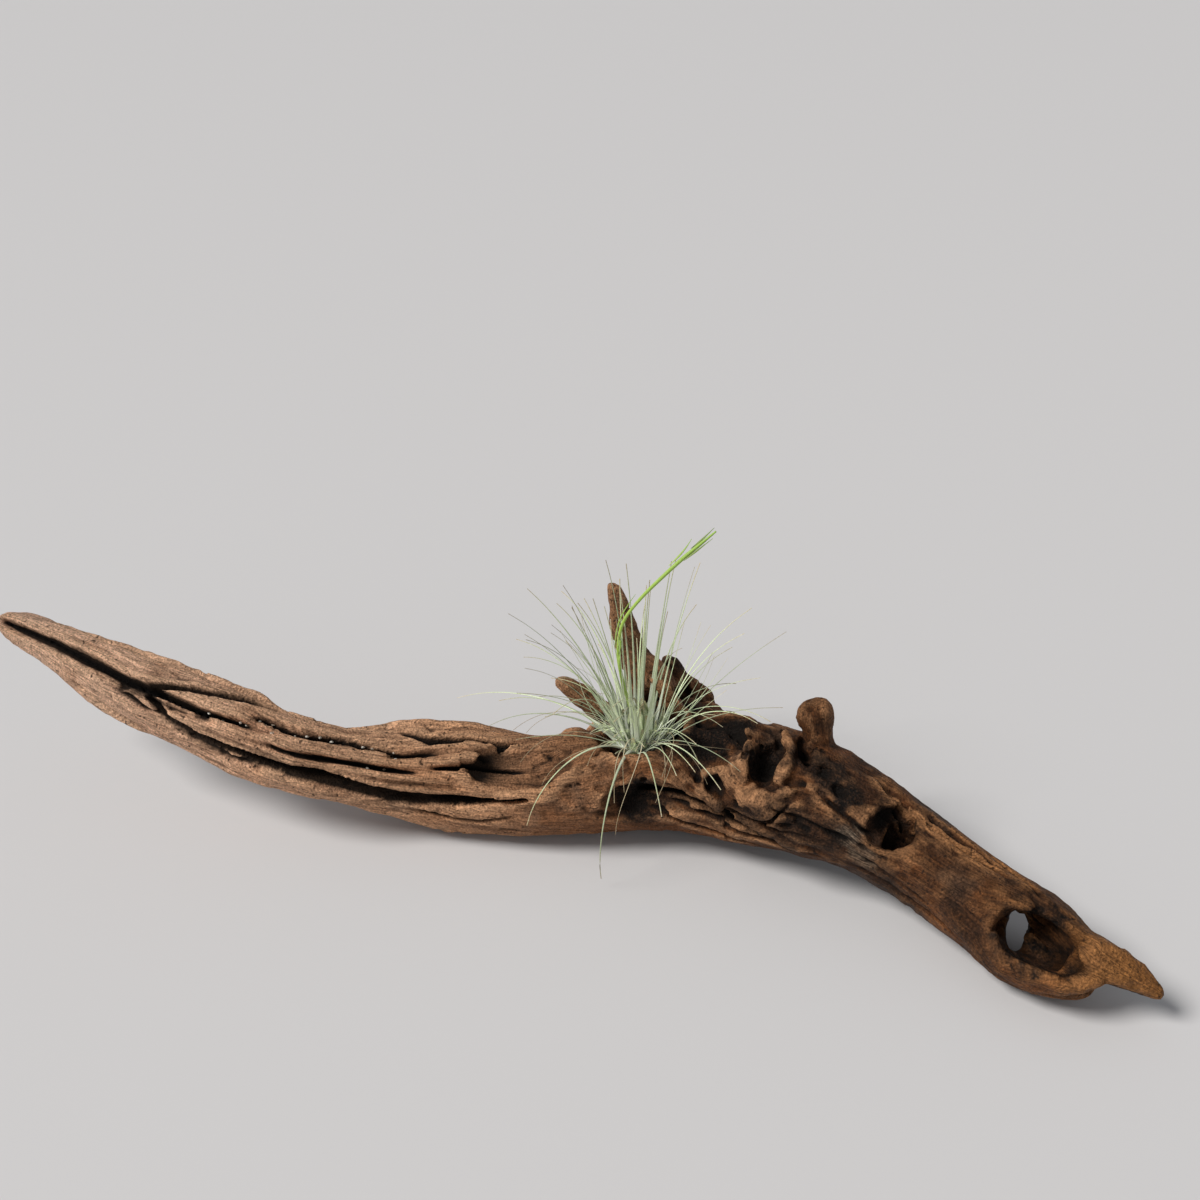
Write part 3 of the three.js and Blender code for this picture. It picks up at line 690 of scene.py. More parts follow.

# %% [markdown]
# ## The wood's finish
# This is bare softwood that has lain in the sea and then in the sun: it has no varnish, so it is
# dull and dry, with a weak broad shine. What the eye reads is the fibre: hard rings stand out pale
# and a little polished, with a painted highlight on the crests, soft wood between them is worn
# deeper and holds dirt in its pores, and painted shade makes the grooves and hollows dark and the
# splits black. One end is bleached to a pale pinkish tan and the other is a dark, almost wet
# brown. A picture could be wrapped round it, but it would smear where the surface folds. So the
# colours are laid on in coats over the stored grain coordinates and depths, each with a width taken
# from the real fibres: rings 3 mm apart, fibres 0.8 mm and hairs 0.5 mm wide, blotches of 17 and
# 30 mm.

# %% Patterns for the wood
wood_finish = bpy.data.materials.new("sand_worn_driftwood")
wood_finish.use_nodes = True
tree = wood_finish.node_tree
tree.nodes.clear()
crest_out = add(tree, "ShaderNodeAttribute", attribute_name="crest").outputs["Fac"]
split_shade_out = add(tree, "ShaderNodeAttribute", attribute_name="buried").outputs["Fac"]
dark_out = add(tree, "ShaderNodeAttribute", attribute_name="dark").outputs["Fac"]
grey_out = add(tree, "ShaderNodeAttribute", attribute_name="grey").outputs["Fac"]
sunken_out = add(tree, "ShaderNodeAttribute", attribute_name="sunken").outputs["Fac"]


def stretched(tree, long_mm, wide_mm, detail=2.0, rough=0.5):
    """A pattern drawn out along the fibres, this long and this wide."""
    grain_out = add(tree, "ShaderNodeAttribute", attribute_name="grain").outputs["Vector"]
    scale = (1 / long_mm, 1 / wide_mm, 1 / wide_mm)
    drawn_out = add(tree, "ShaderNodeVectorMath", {0: grain_out, 1: scale}, operation="MULTIPLY")
    return add(
        tree,
        "ShaderNodeTexNoise",
        {"Vector": drawn_out.outputs[0], "Scale": 1.0, "Detail": detail, "Roughness": rough},
    ).outputs["Fac"]


def lumpy(tree, size_mm, detail=3.0):
    """A pattern of blotches of this size, with no direction."""
    place = add(tree, "ShaderNodeTexCoord").outputs["Object"]
    return add(
        tree, "ShaderNodeTexNoise", {"Vector": place, "Scale": 1000 / size_mm, "Detail": detail}
    ).outputs["Fac"]


def coat(tree, under, pattern, start, full, most, colour):
    """Lays a colour on: none where the pattern is at start, and the most where it is at full."""
    share = add(
        tree,
        "ShaderNodeMapRange",
        {"Value": pattern, "From Min": start, "From Max": full, "To Max": most},
    ).outputs["Result"]
    return add(
        tree, "ShaderNodeMix", {"Factor": share, 6: under, 7: colour}, data_type="RGBA"
    ).outputs[2]


def mottle(tree, under, pattern, start, full, least, most):
    """Makes a colour darker and lighter by a pattern."""
    light = add(
        tree,
        "ShaderNodeMapRange",
        {"Value": pattern, "From Min": start, "From Max": full, "To Min": least, "To Max": most},
    ).outputs["Result"]
    return add(
        tree,
        "ShaderNodeMix",
        {"Factor": 1.0, 6: under, 7: light},
        data_type="RGBA",
        blend_type="MULTIPLY",
    ).outputs[2]


# %% Wood colours
place = add(tree, "ShaderNodeTexCoord").outputs["Object"]
x_out = add(tree, "ShaderNodeSeparateXYZ", {0: place}).outputs[0]
left, right = (corner[0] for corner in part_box("driftwood"))
zone = add(
    tree, "ShaderNodeMapRange", {"Value": x_out, "From Min": left, "From Max": right}
).outputs["Result"]
zones = add(tree, "ShaderNodeValToRGB", {"Fac": zone})
ZONE_COLOURS = [
    (0.0, "#e9c0a4"), (0.25, "#e6b796"), (0.42, "#cb9a75"), (0.52, "#986c4c"),
    (0.62, "#5f3b20"), (0.8, "#341e0f"), (0.92, "#694224"), (1.0, "#a4733f"),
]  # fmt: skip
while len(zones.color_ramp.elements) < len(ZONE_COLOURS):
    zones.color_ramp.elements.new(0.5)
for element, (position, colour) in zip(zones.color_ramp.elements, ZONE_COLOURS):
    element.position = position
    element.color = linear(colour)


def along_wood(pale_end, dark_end):
    """A colour that changes from the pale left end of the wood to the dark right end."""
    return coat(tree, linear(pale_end), zone, 0.0, 1.0, 1.0, linear(dark_end))


streaks = stretched(tree, 40, 3.0, 4.0, 0.65)
fine_streaks = stretched(tree, 9, 0.8, 4.0, 0.7)
hairs = stretched(tree, 4, 0.5, 2.0, 0.6)
speckle = lumpy(tree, 1.1, 4.0)
pores = lumpy(tree, 2.4, 1.0)
# the near black laid on the dark patches, painted shade among them
rot_and_shade = coat(tree, linear("#120c08"), speckle, 0.45, 0.7, 1.0, linear("#38261a"))
bleached = coat(tree, linear("#332c26"), fine_streaks, 0.35, 0.65, 1.0, linear("#857563"))
# streaks, warm and cool patches, and the crests: pale with wear and a painted highlight
colour = coat(tree, zones.outputs["Color"], streaks, 0.46, 0.7, 0.7, along_wood("#77533c", "#2c1c12"))
colour = coat(tree, colour, lumpy(tree, 30), 0.5, 0.66, 0.4, along_wood("#a06a45", "#8a5226"))
colour = coat(tree, colour, lumpy(tree, 17), 0.55, 0.7, 0.4, along_wood("#8c7a6a", "#3a2c21"))
# pale worn crests with a painted highlight on them
colour = coat(tree, colour, crest_out, 0.56, 0.85, 0.55, along_wood("#e0b897", "#a8703c"))
# dark patches, part of them painted shade, and grey stains, then the light and dark of single fibres
colour = coat(tree, colour, dark_out, 0.0, 1.0, 1.0, rot_and_shade)
colour = coat(tree, colour, grey_out, 0.0, 1.0, 0.8, bleached)
colour = mottle(tree, colour, fine_streaks, 0.32, 0.68, 0.45, 1.55)
colour = mottle(tree, colour, speckle, 0.3, 0.7, 0.55, 1.45)
# dirt in the pores, then painted shade in the grooves, the splits and the wide hollows
colour = coat(tree, colour, pores, 0.66, 0.74, 0.8, linear("#1c120b"))
colour = coat(tree, colour, crest_out, 0.48, 0.15, 0.93, linear("#120b06"))
colour = coat(tree, colour, split_shade_out, 0.0, 0.85, 0.96, linear("#0d0805"))
colour = coat(tree, colour, sunken_out, 0.52, 0.85, 0.85, linear("#100a06"))
print("colour patterns:", len(tree.nodes), "nodes")

# %% Wood relief and shader
hair_relief = add(tree, "ShaderNodeMath", {0: hairs, 1: 0.5, 2: fine_streaks}, operation="MULTIPLY_ADD")
relief = add(
    tree, "ShaderNodeMath", {0: speckle, 1: 0.9, 2: hair_relief.outputs[0]}, operation="MULTIPLY_ADD"
)
bump = add(tree, "ShaderNodeBump", {"Strength": 1.0, "Distance": 0.0016, "Height": relief.outputs[0]})
roughness = add(
    tree,
    "ShaderNodeMapRange",
    {"Value": zone, "From Min": 0.4, "From Max": 0.8, "To Min": 0.85, "To Max": 0.62},
)
shader = add(
    tree,
    "ShaderNodeBsdfPrincipled",
    {
        "Base Color": colour,
        "Roughness": roughness.outputs["Result"],
        "IOR": 1.45,
        "Specular IOR Level": 0.2,
        "Normal": bump.outputs["Normal"],
    },
)
add(tree, "ShaderNodeOutputMaterial", {"Surface": shader.outputs["BSDF"]})
wood.data.materials.clear()
wood.data.materials.append(wood_finish)

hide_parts("driftwood")
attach(wood, "root")
print("wood finish:", len(tree.nodes), "nodes")

# %% [markdown]
# ## Leaves
# A leaf of this plant is a long channelled blade, a few millimetres wide where it clasps the
# rosette and drawn out to a thread. The CAD part has a plain four-sided solid for each. Its rings
# of points give the line that the leaf follows. One Geometry Nodes tree turns any such line into
# a blade: it smooths the line, sweeps a shallow trough along it and stores how far along each
# point lies, which the material uses.


# %% The line and the width of a CAD blade
def rings_of(node):
    """The middle and half width of each ring of a CAD blade in millimetres, from foot to tip."""
    corners, faces = merged_copy(node)
    neighbours = [set() for _ in corners]
    for a, b, c in faces.tolist():
        neighbours[a] |= {b, c}
        neighbours[b] |= {a, c}
        neighbours[c] |= {a, b}

    def levels(start):
        seen, level = {start}, [start]
        found = []
        while level:
            found.append(level)
            level = sorted({m for n in level for m in neighbours[n]} - seen)
            seen |= set(level)
        return found

    rings = levels(levels(0)[-1][0])
    middles = np.array([corners[ring].mean(0) for ring in rings])
    widths = np.array(
        [np.linalg.norm(corners[ring] - m, axis=1).max() for ring, m in zip(rings, middles)]
    )
    if np.linalg.norm(middles[0] - SEAT) > np.linalg.norm(middles[-1] - SEAT):
        middles, widths = middles[::-1], widths[::-1]
    return middles[1:-1], widths[1:-1]


print("first leaf's line:", len(rings_of("leaf_01")[0]), "rings")

# %% The blade tree
def group_input(tree, name, kind, default):
    """Adds a named input to a tree, and gives the identifier by which a modifier sets it."""
    socket = tree.interface.new_socket(name, in_out="INPUT", socket_type=kind)
    socket.default_value = default
    return socket.identifier


def blade_tree():
    """Sweeps a trough along every line of a mesh. The half width is read from the mesh."""
    tree = bpy.data.node_groups.new("blade", "GeometryNodeTree")
    tree.interface.new_socket("Geometry", in_out="INPUT", socket_type="NodeSocketGeometry")
    tree.interface.new_socket("Geometry", in_out="OUTPUT", socket_type="NodeSocketGeometry")
    names = {
        "thickness": group_input(tree, "Thickness share", "NodeSocketFloat", 0.3),
        "channel": group_input(tree, "Channel depth share", "NodeSocketFloat", 0.35),
        "sides": group_input(tree, "Sides", "NodeSocketInt", 8),
        "material": group_input(tree, "Material", "NodeSocketMaterial", None),
    }
    given = add(tree, "NodeGroupInput").outputs
    line = add(tree, "GeometryNodeMeshToCurve", {"Mesh": given["Geometry"]}).outputs[0]
    line = add(tree, "GeometryNodeCurveSplineType", {0: line}, spline_type="CATMULL_ROM").outputs[0]
    line = add(tree, "GeometryNodeSetSplineResolution", {0: line, "Resolution": 3}).outputs[0]
    line = add(tree, "GeometryNodeResampleCurve", {0: line}, mode="EVALUATED").outputs[0]
    line = add(tree, "GeometryNodeSetCurveNormal", {0: line}, mode="Z_UP").outputs[0]
    factor = add(tree, "GeometryNodeSplineParameter").outputs["Factor"]
    line = add(
        tree, "GeometryNodeStoreNamedAttribute", {0: line, "Name": "along", "Value": factor}
    ).outputs[0]
    ring = add(
        tree, "GeometryNodeCurvePrimitiveCircle", {"Resolution": given["Sides"], "Radius": 1.0}
    ).outputs[0]
    spot = add(tree, "GeometryNodeInputPosition").outputs[0]
    parts = add(tree, "ShaderNodeSeparateXYZ", {0: spot}).outputs
    squared = add(tree, "ShaderNodeMath", {0: parts[0], 1: parts[0]}, operation="MULTIPLY").outputs[0]
    sag = add(
        tree, "ShaderNodeMath", {0: squared, 1: given["Channel depth share"]}, operation="MULTIPLY"
    )
    flat = add(tree, "ShaderNodeMath", {0: parts[1], 1: given["Thickness share"]}, operation="MULTIPLY")
    height = add(tree, "ShaderNodeMath", {0: flat.outputs[0], 1: sag.outputs[0]}, operation="ADD")
    trough = add(tree, "ShaderNodeCombineXYZ", {0: parts[0], 1: height.outputs[0]}).outputs[0]
    ring = add(tree, "GeometryNodeSetPosition", {0: ring, "Position": trough}).outputs[0]
    width = add(tree, "GeometryNodeInputNamedAttribute", {"Name": "half_width"}).outputs[0]
    mesh = add(
        tree,
        "GeometryNodeCurveToMesh",
        {"Curve": line, "Profile Curve": ring, "Scale": width, "Fill Caps": True},
    ).outputs[0]
    mesh = add(tree, "GeometryNodeRealizeInstances", {0: mesh}).outputs[0]
    mesh = add(tree, "GeometryNodeSetMaterial", {0: mesh, "Material": given["Material"]}).outputs[0]
    add(tree, "NodeGroupOutput", {0: mesh})
    return tree, names


BLADE, BLADE_INPUTS = blade_tree()
draw = np.random.default_rng(11)


def grow(name, lines, material, **sizes):
    """Makes one plain mesh of blades from lines: lists of points and half widths in millimetres."""
    points = np.concatenate([line for line, _ in lines]) / 1000
    widths = np.concatenate([width for _, width in lines]) / 1000
    edges, start = [], 0
    for line, _ in lines:
        edges += [(n, n + 1) for n in range(start, start + len(line) - 1)]
        start += len(line)
    mesh = bpy.data.meshes.new(name + "_line")
    mesh.from_pydata(points.tolist(), edges, [])
    tones = np.concatenate([np.full(len(line), draw.uniform()) for line, _ in lines])
    for kind, values in (("half_width", widths), ("tone", tones)):
        layer = mesh.attributes.new(kind, "FLOAT", "POINT")
        layer.data.foreach_set("value", values.astype(np.float32))
    piece = bpy.data.objects.new(name + "_line", mesh)
    bpy.context.scene.collection.objects.link(piece)
    sweep = piece.modifiers.new("blade", "NODES")
    sweep.node_group = BLADE
    sweep[BLADE_INPUTS["material"]] = material
    for key, value in sizes.items():
        sweep[BLADE_INPUTS[key]] = value
    made = bake(piece, name)
    made.data.shade_smooth()
    return made


print("blade tree:", len(BLADE.nodes), "nodes")

# %% [markdown]
# ## Leaf and stem finishes
# The leaves are covered in trichomes, tiny scales that drink mist and scatter light, so they are
# a matte silver green: palest at the clasping foot, greener in the middle and dry tan at the tip.
# The flower stalk and its bracts have no scales and are a fresh green with a slightly waxy gloss.
# Dead leaves are tan, papery and quite dull. One function makes all three finishes, because they
# differ only in their colours along the blade, their roughness and how many scales show. The real
# scales are finer than the eye can tell apart, so they are drawn as specks of half a millimetre.


# %% Leaf and stem materials
def plant_finish(name, colours, roughness, speckle):
    """A finish that changes along the blade: colours are (share of the length, hex)."""
    print("finish:", name)
    finish = bpy.data.materials.new(name)
    finish.use_nodes = True
    tree = finish.node_tree
    tree.nodes.clear()
    along = add(tree, "ShaderNodeAttribute", attribute_name="along").outputs["Fac"]
    place = add(tree, "ShaderNodeTexCoord").outputs["Object"]
    patches = add(tree, "ShaderNodeTexNoise", {"Vector": place, "Scale": 1000 / 9, "Detail": 2.0})
    shifted = add(tree, "ShaderNodeMath", {0: patches.outputs["Fac"], 1: 0.5}, operation="SUBTRACT")
    shifted = add(
        tree, "ShaderNodeMath", {0: shifted.outputs[0], 1: 0.25, 2: along}, operation="MULTIPLY_ADD"
    )
    tones = add(tree, "ShaderNodeValToRGB", {"Fac": shifted.outputs[0]})
    while len(tones.color_ramp.elements) < len(colours):
        tones.color_ramp.elements.new(0.5)
    for element, (position, colour) in zip(tones.color_ramp.elements, colours):
        element.position = position
        element.color = linear(colour)
    scales = add(tree, "ShaderNodeTexNoise", {"Vector": place, "Scale": 1000 / 0.5, "Detail": 1.0})
    amount = add(
        tree,
        "ShaderNodeMapRange",
        {"Value": scales.outputs["Fac"], "From Min": 0.4, "From Max": 0.7, "To Max": speckle},
    )
    base = add(
        tree,
        "ShaderNodeMix",
        {"Factor": amount.outputs[0], 6: tones.outputs["Color"], 7: linear("#eef2e6")},
        data_type="RGBA",
    )
    tone = add(tree, "ShaderNodeAttribute", attribute_name="tone").outputs["Fac"]
    shade = add(tree, "ShaderNodeMapRange", {"Value": tone, "To Min": 0.6, "To Max": 1.45}).outputs[0]
    base = add(
        tree,
        "ShaderNodeMix",
        {"Factor": 1.0, 6: base.outputs[2], 7: shade},
        data_type="RGBA",
        blend_type="MULTIPLY",
    )
    shader = add(
        tree,
        "ShaderNodeBsdfPrincipled",
        {"Base Color": base.outputs[2], "Roughness": roughness, "IOR": 1.42},
    )
    add(tree, "ShaderNodeOutputMaterial", {"Surface": shader.outputs["BSDF"]})
    return finish


LEAF = plant_finish(
    "silver_scaled_leaf",
    [(0.0, "#f0f2ec"), (0.1, "#dfe5d6"), (0.35, "#c6d3aa"), (0.75, "#b8c694"), (1.0, "#b09d74")],
    0.65,
    0.45,
)
STEM = plant_finish("waxy_green_stem", [(0.0, "#9fb266"), (0.4, "#8eaa40"), (1.0, "#7e9e36")], 0.42, 0.1)
DRY = plant_finish("dry_leaf", [(0.0, "#c9c3ad"), (0.5, "#b3a482"), (1.0, "#94805c")], 0.8, 0.2)

# %% Leaves, bracts and stalk
blades = [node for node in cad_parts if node.startswith(("leaf_", "scale_leaf_"))]
for node in blades:
    line, width = rings_of(node)
    far = np.linspace(0, 1, len(line))
    short = node.startswith("scale_leaf_")
    clasp = (1.4 if short else 1.9) * np.exp(-far / (0.35 if short else 0.08))
    blade = grow("silver_" + node, [(line, 0.75 * width + clasp)], LEAF, thickness=0.24)
    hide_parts(node)
    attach(blade, "root")
for node in (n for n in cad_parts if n.startswith("flower_bract_")):
    line, width = rings_of(node)
    slim = np.minimum(0.5 * width, 0.9)
    bract = grow("green_" + node, [(line, slim)], STEM, thickness=0.35, channel=0.4)
    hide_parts(node)
    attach(bract, "root")
line, width = rings_of("flower_stalk")
stalk = grow("green_flower_stalk", [(line, 0.9 * width)], STEM, thickness=1.0, channel=0.0, sides=12)
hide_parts("flower_stalk")
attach(stalk, "root")
first_leaf = bpy.data.objects["silver_" + blades[0]]
print("leaves:", len(blades), "the first with", len(first_leaf.data.polygons), "faces")

# %% [markdown]
# ## Fine leaves
# Between the leaves that the CAD part holds grow many finer ones, and a few dead ones curl about
# the foot. Each is a line that leaves the rosette and bends under its own weight. A line that
# would run into the wood is dropped, and a new one is drawn in its place.

# %% Fine leaves
# The bulb at the foot of the rosette is part of an ellipsoid (mm).
BULB_RADIUS = 8.0
BULB_MIDDLE = 5.2
BULB_HALF_HEIGHT = 9.5
CLEARANCE = 0.8  # mm between a fine leaf and the wood


def free_line(azimuth, rise, fall, length, height, bend, sway, steps=16):
    """A line that leaves the rosette, or None where it would run into the wood."""
    level = (height - BULB_MIDDLE) / BULB_HALF_HEIGHT
    start = BULB_RADIUS * math.sqrt(max(0.0, 1 - level**2))
    at = SEAT + [start * math.cos(azimuth), start * math.sin(azimuth), height]
    line = [at]
    for n in range(steps):
        middle = (n + 0.5) / steps
        tilt = rise + (fall - rise) * middle**bend - 0.5 * math.exp(-middle / 0.08)
        heading = azimuth + sway * middle
        flat, up = math.cos(tilt) * length / steps, math.sin(tilt) * length / steps
        at = at + [flat * math.cos(heading), flat * math.sin(heading), up]
        line.append(at)
    line = np.array(line)
    return line if sample(field, line[2:]).min() > CLEARANCE else None


def fine_leaves(count, length, rise, fall, sway, width, foot=1.2, foot_share=0.06):
    """Lines and half widths of leaves: their lengths in mm, first and last slopes in degrees."""
    lines = []
    while len(lines) < count:
        line = free_line(
            draw.uniform(-math.pi, math.pi),
            math.radians(draw.uniform(*rise)),
            math.radians(draw.uniform(*fall)),
            draw.uniform(*length),
            draw.uniform(1.5, 11.5),
            draw.uniform(0.7, 1.6),
            math.radians(draw.uniform(-sway, sway)),
        )
        if line is not None:
            far = np.linspace(0, 1, len(line))
            taper = 0.35 + 0.65 * (1 - far) ** 2
            lines.append((line, width * taper + foot * np.exp(-far / foot_share)))
    return lines


fresh = fine_leaves(54, (52, 82), (48, 88), (-30, 84), 25, 0.62)
dead = fine_leaves(14, (38, 66), (36, 60), (-110, -10), 170, 0.4)
spikes = fine_leaves(26, (13, 21), (20, 75), (-40, 30), 40, 0.12, 2.3, 0.4)
for name, lines, finish in (
    ("fine_leaves", fresh, LEAF),
    ("foot_leaves", spikes, LEAF),
    ("dry_leaves", dead, DRY),
):
    tuft = grow(name, lines, finish, thickness=0.3, sides=6)
    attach(tuft, "root")
    print(name, len(tuft.data.polygons), "faces")

# %% [markdown]
# ## Heart of the rosette
# The foot of every leaf is a broad silver sheath that clasps the ones inside it, and together
# they make a small bulb. A sheath is one short blade. A Geometry Nodes tree sets copies of it
# around the core by the golden angle, the turn that packs leaves most evenly.


# %% Heart of the rosette
def heart_tree():
    """Sets copies of a sheath around a foot by the golden angle."""
    tree = bpy.data.node_groups.new("golden_spiral", "GeometryNodeTree")
    tree.interface.new_socket("Geometry", in_out="INPUT", socket_type="NodeSocketGeometry")
    tree.interface.new_socket("Geometry", in_out="OUTPUT", socket_type="NodeSocketGeometry")
    names = {
        "count": group_input(tree, "Sheaths", "NodeSocketInt", 38),
        "height": group_input(tree, "Height", "NodeSocketFloat", 0.012),
        "radius": group_input(tree, "Radius", "NodeSocketFloat", 0.008),
        "foot": group_input(tree, "Foot", "NodeSocketVector", (0.0, 0.0, 0.0)),
        "seed": group_input(tree, "Seed", "NodeSocketInt", 3),
        "material": group_input(tree, "Material", "NodeSocketMaterial", None),
    }
    given = add(tree, "NodeGroupInput").outputs

    index = add(tree, "GeometryNodeInputIndex").outputs[0]
    share = add(tree, "ShaderNodeMath", {0: index, 1: given["Sheaths"]}, operation="DIVIDE").outputs[0]
    golden = math.pi * (3 - math.sqrt(5))
    angle = add(tree, "ShaderNodeMath", {0: index, 1: golden}, operation="MULTIPLY").outputs[0]
    # the inner sheaths stand closer to the middle, higher and more upright
    squared = add(tree, "ShaderNodeMath", {0: share, 1: share}, operation="MULTIPLY").outputs[0]
    inward = add(tree, "ShaderNodeMath", {0: squared, 1: -0.75, 2: 1.0}, operation="MULTIPLY_ADD")
    radius = add(
        tree, "ShaderNodeMath", {0: given["Radius"], 1: inward.outputs[0]}, operation="MULTIPLY"
    )
    height = add(tree, "ShaderNodeMath", {0: given["Height"], 1: share}, operation="MULTIPLY")
    outward = add(
        tree, "ShaderNodeCombineXYZ", {0: radius.outputs[0], 2: height.outputs[0]}
    ).outputs[0]
    spot = add(
        tree,
        "ShaderNodeVectorRotate",
        {"Vector": outward, "Angle": angle},
        rotation_type="Z_AXIS",
    ).outputs[0]
    spot = add(tree, "ShaderNodeVectorMath", {0: spot, 1: given["Foot"]}, operation="ADD").outputs[0]
    points = add(tree, "GeometryNodePoints", {"Count": given["Sheaths"], "Position": spot}).outputs[0]
    lean = add(
        tree,
        "ShaderNodeMath",
        {0: share, 1: -math.radians(58), 2: math.radians(2)},
        operation="MULTIPLY_ADD",
    ).outputs[0]
    turned = add(tree, "ShaderNodeCombineXYZ", {0: 0.0, 1: lean, 2: angle}).outputs[0]
    size = add(
        tree,
        "FunctionNodeRandomValue",
        {2: 0.8, 3: 1.3, "Seed": given["Seed"]},
        data_type="FLOAT",
    ).outputs[1]
    # every sheath gets a tone of its own, so that neighbours stand apart
    plain = add(tree, "GeometryNodeRemoveAttribute", {0: given["Geometry"], "Name": "tone"}).outputs[0]
    tone = add(tree, "FunctionNodeRandomValue", {"Seed": 8}, data_type="FLOAT").outputs[1]
    copies = add(
        tree,
        "GeometryNodeInstanceOnPoints",
        {"Points": points, "Instance": plain, "Rotation": turned, "Scale": size},
    ).outputs[0]
    toned = add(
        tree,
        "GeometryNodeStoreNamedAttribute",
        {0: copies, "Name": "tone", "Value": tone},
        domain="INSTANCE",
    ).outputs[0]
    mesh = add(tree, "GeometryNodeRealizeInstances", {0: toned}).outputs[0]
    mesh = add(tree, "GeometryNodeSetMaterial", {0: mesh, "Material": given["Material"]}).outputs[0]
    add(tree, "NodeGroupOutput", {0: mesh})
    return tree, names


# One sheath, in millimetres: it starts flat at the core, bends up and tapers to a point.
sheath_line = np.array(
    [(-1, 0, -0.5), (1.5, 0, 0.2), (4, 0, 2.2), (5.5, 0, 5), (6.4, 0, 8.5), (7.6, 0, 12)]
)
sheath_width = np.array([2.2, 2.9, 2.6, 1.8, 1.1, 0.5])
sheath = grow("sheath", [(sheath_line, sheath_width)], LEAF, thickness=0.16, channel=0.3)
HEART, HEART_INPUTS = heart_tree()
spiral = sheath.modifiers.new("spiral", "NODES")
spiral.node_group = HEART
spiral[HEART_INPUTS["foot"]] = tuple(float(v) for v in (SEAT + [0, 0, 1.5]) / 1000)
spiral[HEART_INPUTS["radius"]] = 0.0055
spiral[HEART_INPUTS["material"]] = LEAF
heart = bake(sheath, "silver_rosette_heart")
heart.data.shade_smooth()
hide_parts("rosette_core")
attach(heart, "root")
print("heart:", len(heart.data.polygons), "faces")

# %% [markdown]
# ## Sand
# A little beach sand is still caught in the splits of the long arm. The wood's points that lie in
# a split there are marked, and a Geometry Nodes tree scatters grains of 1 to 2 mm over the marked
# faces. The grains are too small to show their facets, so 20 faces each are enough. Quartz sand is
# glassy but scuffed: from tan to nearly white, with small dull glints.

# %% Sand in the splits
in_split = (sunken > 0.52) & (hollow > 0.35) & (drawn[:, 2] > 40)
caught = in_split & (drawn[:, 0] > -185) & (drawn[:, 0] < -95)
layer = wood.data.attributes.new("caught", "FLOAT", "POINT")
layer.data.foreach_set("value", caught.astype(np.float32))

sand_finish = bpy.data.materials.new("quartz_sand")
sand_finish.use_nodes = True
tree = sand_finish.node_tree
tree.nodes.clear()
sand_colour = coat(
    tree, linear("#8d7c68"), lumpy(tree, 1.6, 1.0), 0.4, 0.6, 1.0, linear("#e6e0d4")
)
shader = add(
    tree,
    "ShaderNodeBsdfPrincipled",
    {"Base Color": sand_colour, "Roughness": 0.55, "IOR": 1.54},
)
add(tree, "ShaderNodeOutputMaterial", {"Surface": shader.outputs["BSDF"]})

print("marked points:", int(caught.sum()))

# %% The sand tree
sand_tree = bpy.data.node_groups.new("caught_sand", "GeometryNodeTree")
sand_tree.interface.new_socket("Geometry", in_out="INPUT", socket_type="NodeSocketGeometry")
sand_tree.interface.new_socket("Geometry", in_out="OUTPUT", socket_type="NodeSocketGeometry")
group_input(sand_tree, "Least spacing", "NodeSocketFloat", 0.0028)
group_input(sand_tree, "Grain radius", "NodeSocketFloat", 0.0008)
SAND_SEED = group_input(sand_tree, "Seed", "NodeSocketInt", 5)
given = add(sand_tree, "NodeGroupInput").outputs
marked = add(sand_tree, "GeometryNodeInputNamedAttribute", {"Name": "caught"}).outputs[0]
spots_out = add(
    sand_tree,
    "GeometryNodeDistributePointsOnFaces",
    {
        "Mesh": given["Geometry"],
        "Selection": marked,
        "Distance Min": given["Least spacing"],
        "Density Max": 60000.0,
        "Seed": given["Seed"],
    },
    distribute_method="POISSON",
)
grain_ball = add(
    sand_tree, "GeometryNodeMeshIcoSphere", {"Radius": given["Grain radius"], "Subdivisions": 1}
).outputs[0]
size = add(
    sand_tree,
    "FunctionNodeRandomValue",
    {0: (0.6, 0.5, 0.5), 1: (1.5, 1.2, 1.0), "Seed": given["Seed"]},
    data_type="FLOAT_VECTOR",
).outputs[0]
grains = add(
    sand_tree,
    "GeometryNodeInstanceOnPoints",
    {
        "Points": spots_out.outputs["Points"],
        "Instance": grain_ball,
        "Rotation": spots_out.outputs["Rotation"],
        "Scale": size,
    },
).outputs[0]
grains = add(sand_tree, "GeometryNodeRealizeInstances", {0: grains}).outputs[0]
grains = add(sand_tree, "GeometryNodeSetMaterial", {0: grains, "Material": sand_finish}).outputs[0]
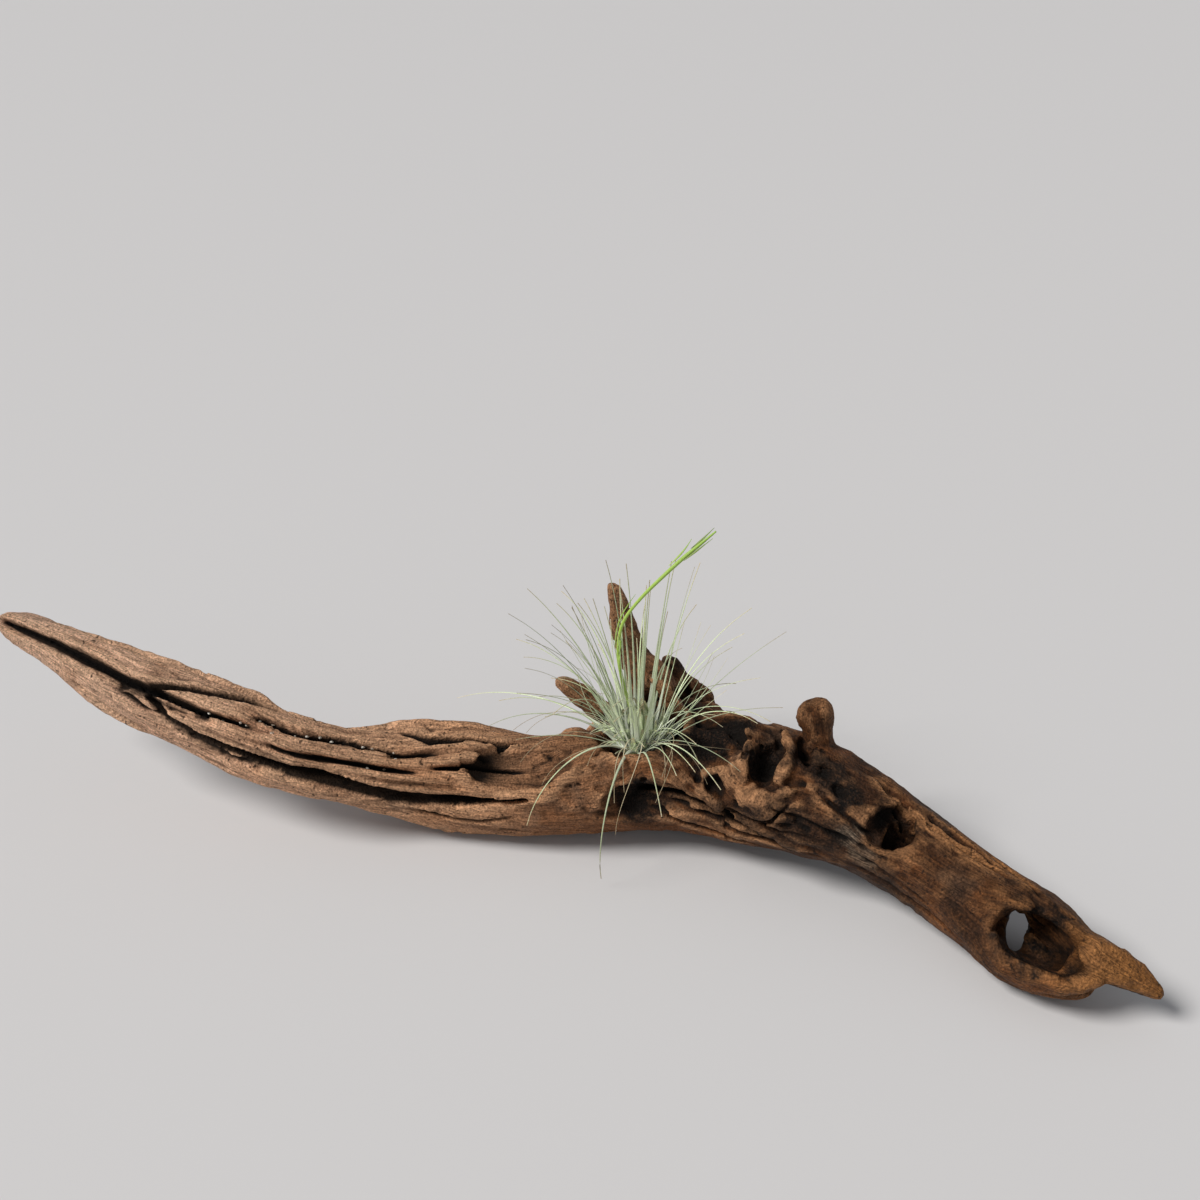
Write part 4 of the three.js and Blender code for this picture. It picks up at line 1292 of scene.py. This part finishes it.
add(sand_tree, "NodeGroupOutput", {0: grains})
print("sand tree:", len(sand_tree.nodes), "nodes")

# %% The sand's mesh
bed = bpy.data.objects.new("sand_bed", wood.data.copy())
bpy.context.scene.collection.objects.link(bed)
scatter = bed.modifiers.new("sand", "NODES")
scatter.node_group = sand_tree
scatter[SAND_SEED] = 5
sand = bake(bed, "caught_sand")
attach(sand, "root")
print("sand grains:", len(sand.data.polygons) // 20)

# %% [markdown]
# ## Floor and light
# The wood is shown as in a plain studio: it rests on a wide pale floor, with one large window high
# on the left and the pale wall in front giving a little light back. A lamp close by would make
# one side of the floor darker than the other, so both lights are suns, as wide as the window and
# the wall look from the table, and the sky adds an even pale grey. The floor is matt painted board,
# which gives the eye nothing but the shadow.

# %% Floor and light
floor = make_object("floor", [(-25, -25, 0), (25, -25, 0), (25, 25, 0), (-25, 25, 0)], [(0, 1, 2, 3)])
floor_finish = bpy.data.materials.new("pale_floor")
floor_finish.use_nodes = True
floor_shader = floor_finish.node_tree.nodes["Principled BSDF"]
floor_shader.inputs["Base Color"].default_value = linear("#cfcecf")
floor_shader.inputs["Roughness"].default_value = 0.7
floor.data.materials.append(floor_finish)

world = bpy.data.worlds.new("studio")
world.use_nodes = True
world.node_tree.nodes["Background"].inputs["Color"].default_value = linear("#dfe2e6")
world.node_tree.nodes["Background"].inputs["Strength"].default_value = 0.32
bpy.context.scene.world = world


def soft_sun(name, towards, strength, spread, colour):
    """A far light from one side. The wider its spread, the softer the shadows."""
    lamp = bpy.data.objects.new(name, bpy.data.lights.new(name, "SUN"))
    bpy.context.scene.collection.objects.link(lamp)
    lamp.data.energy = strength
    lamp.data.angle = math.radians(spread)
    lamp.data.color = linear(colour)[:3]
    lamp.rotation_euler = Vector(towards).to_track_quat("-Z", "Y").to_euler()


soft_sun("window", (0.8, 0.5, -1.0), 3.1, 22, "#fffcf8")
soft_sun("pale wall in front", (-0.3, 1.0, -0.25), 0.35, 70, "#ffffff")
bpy.context.scene.view_settings.view_transform = "Standard"
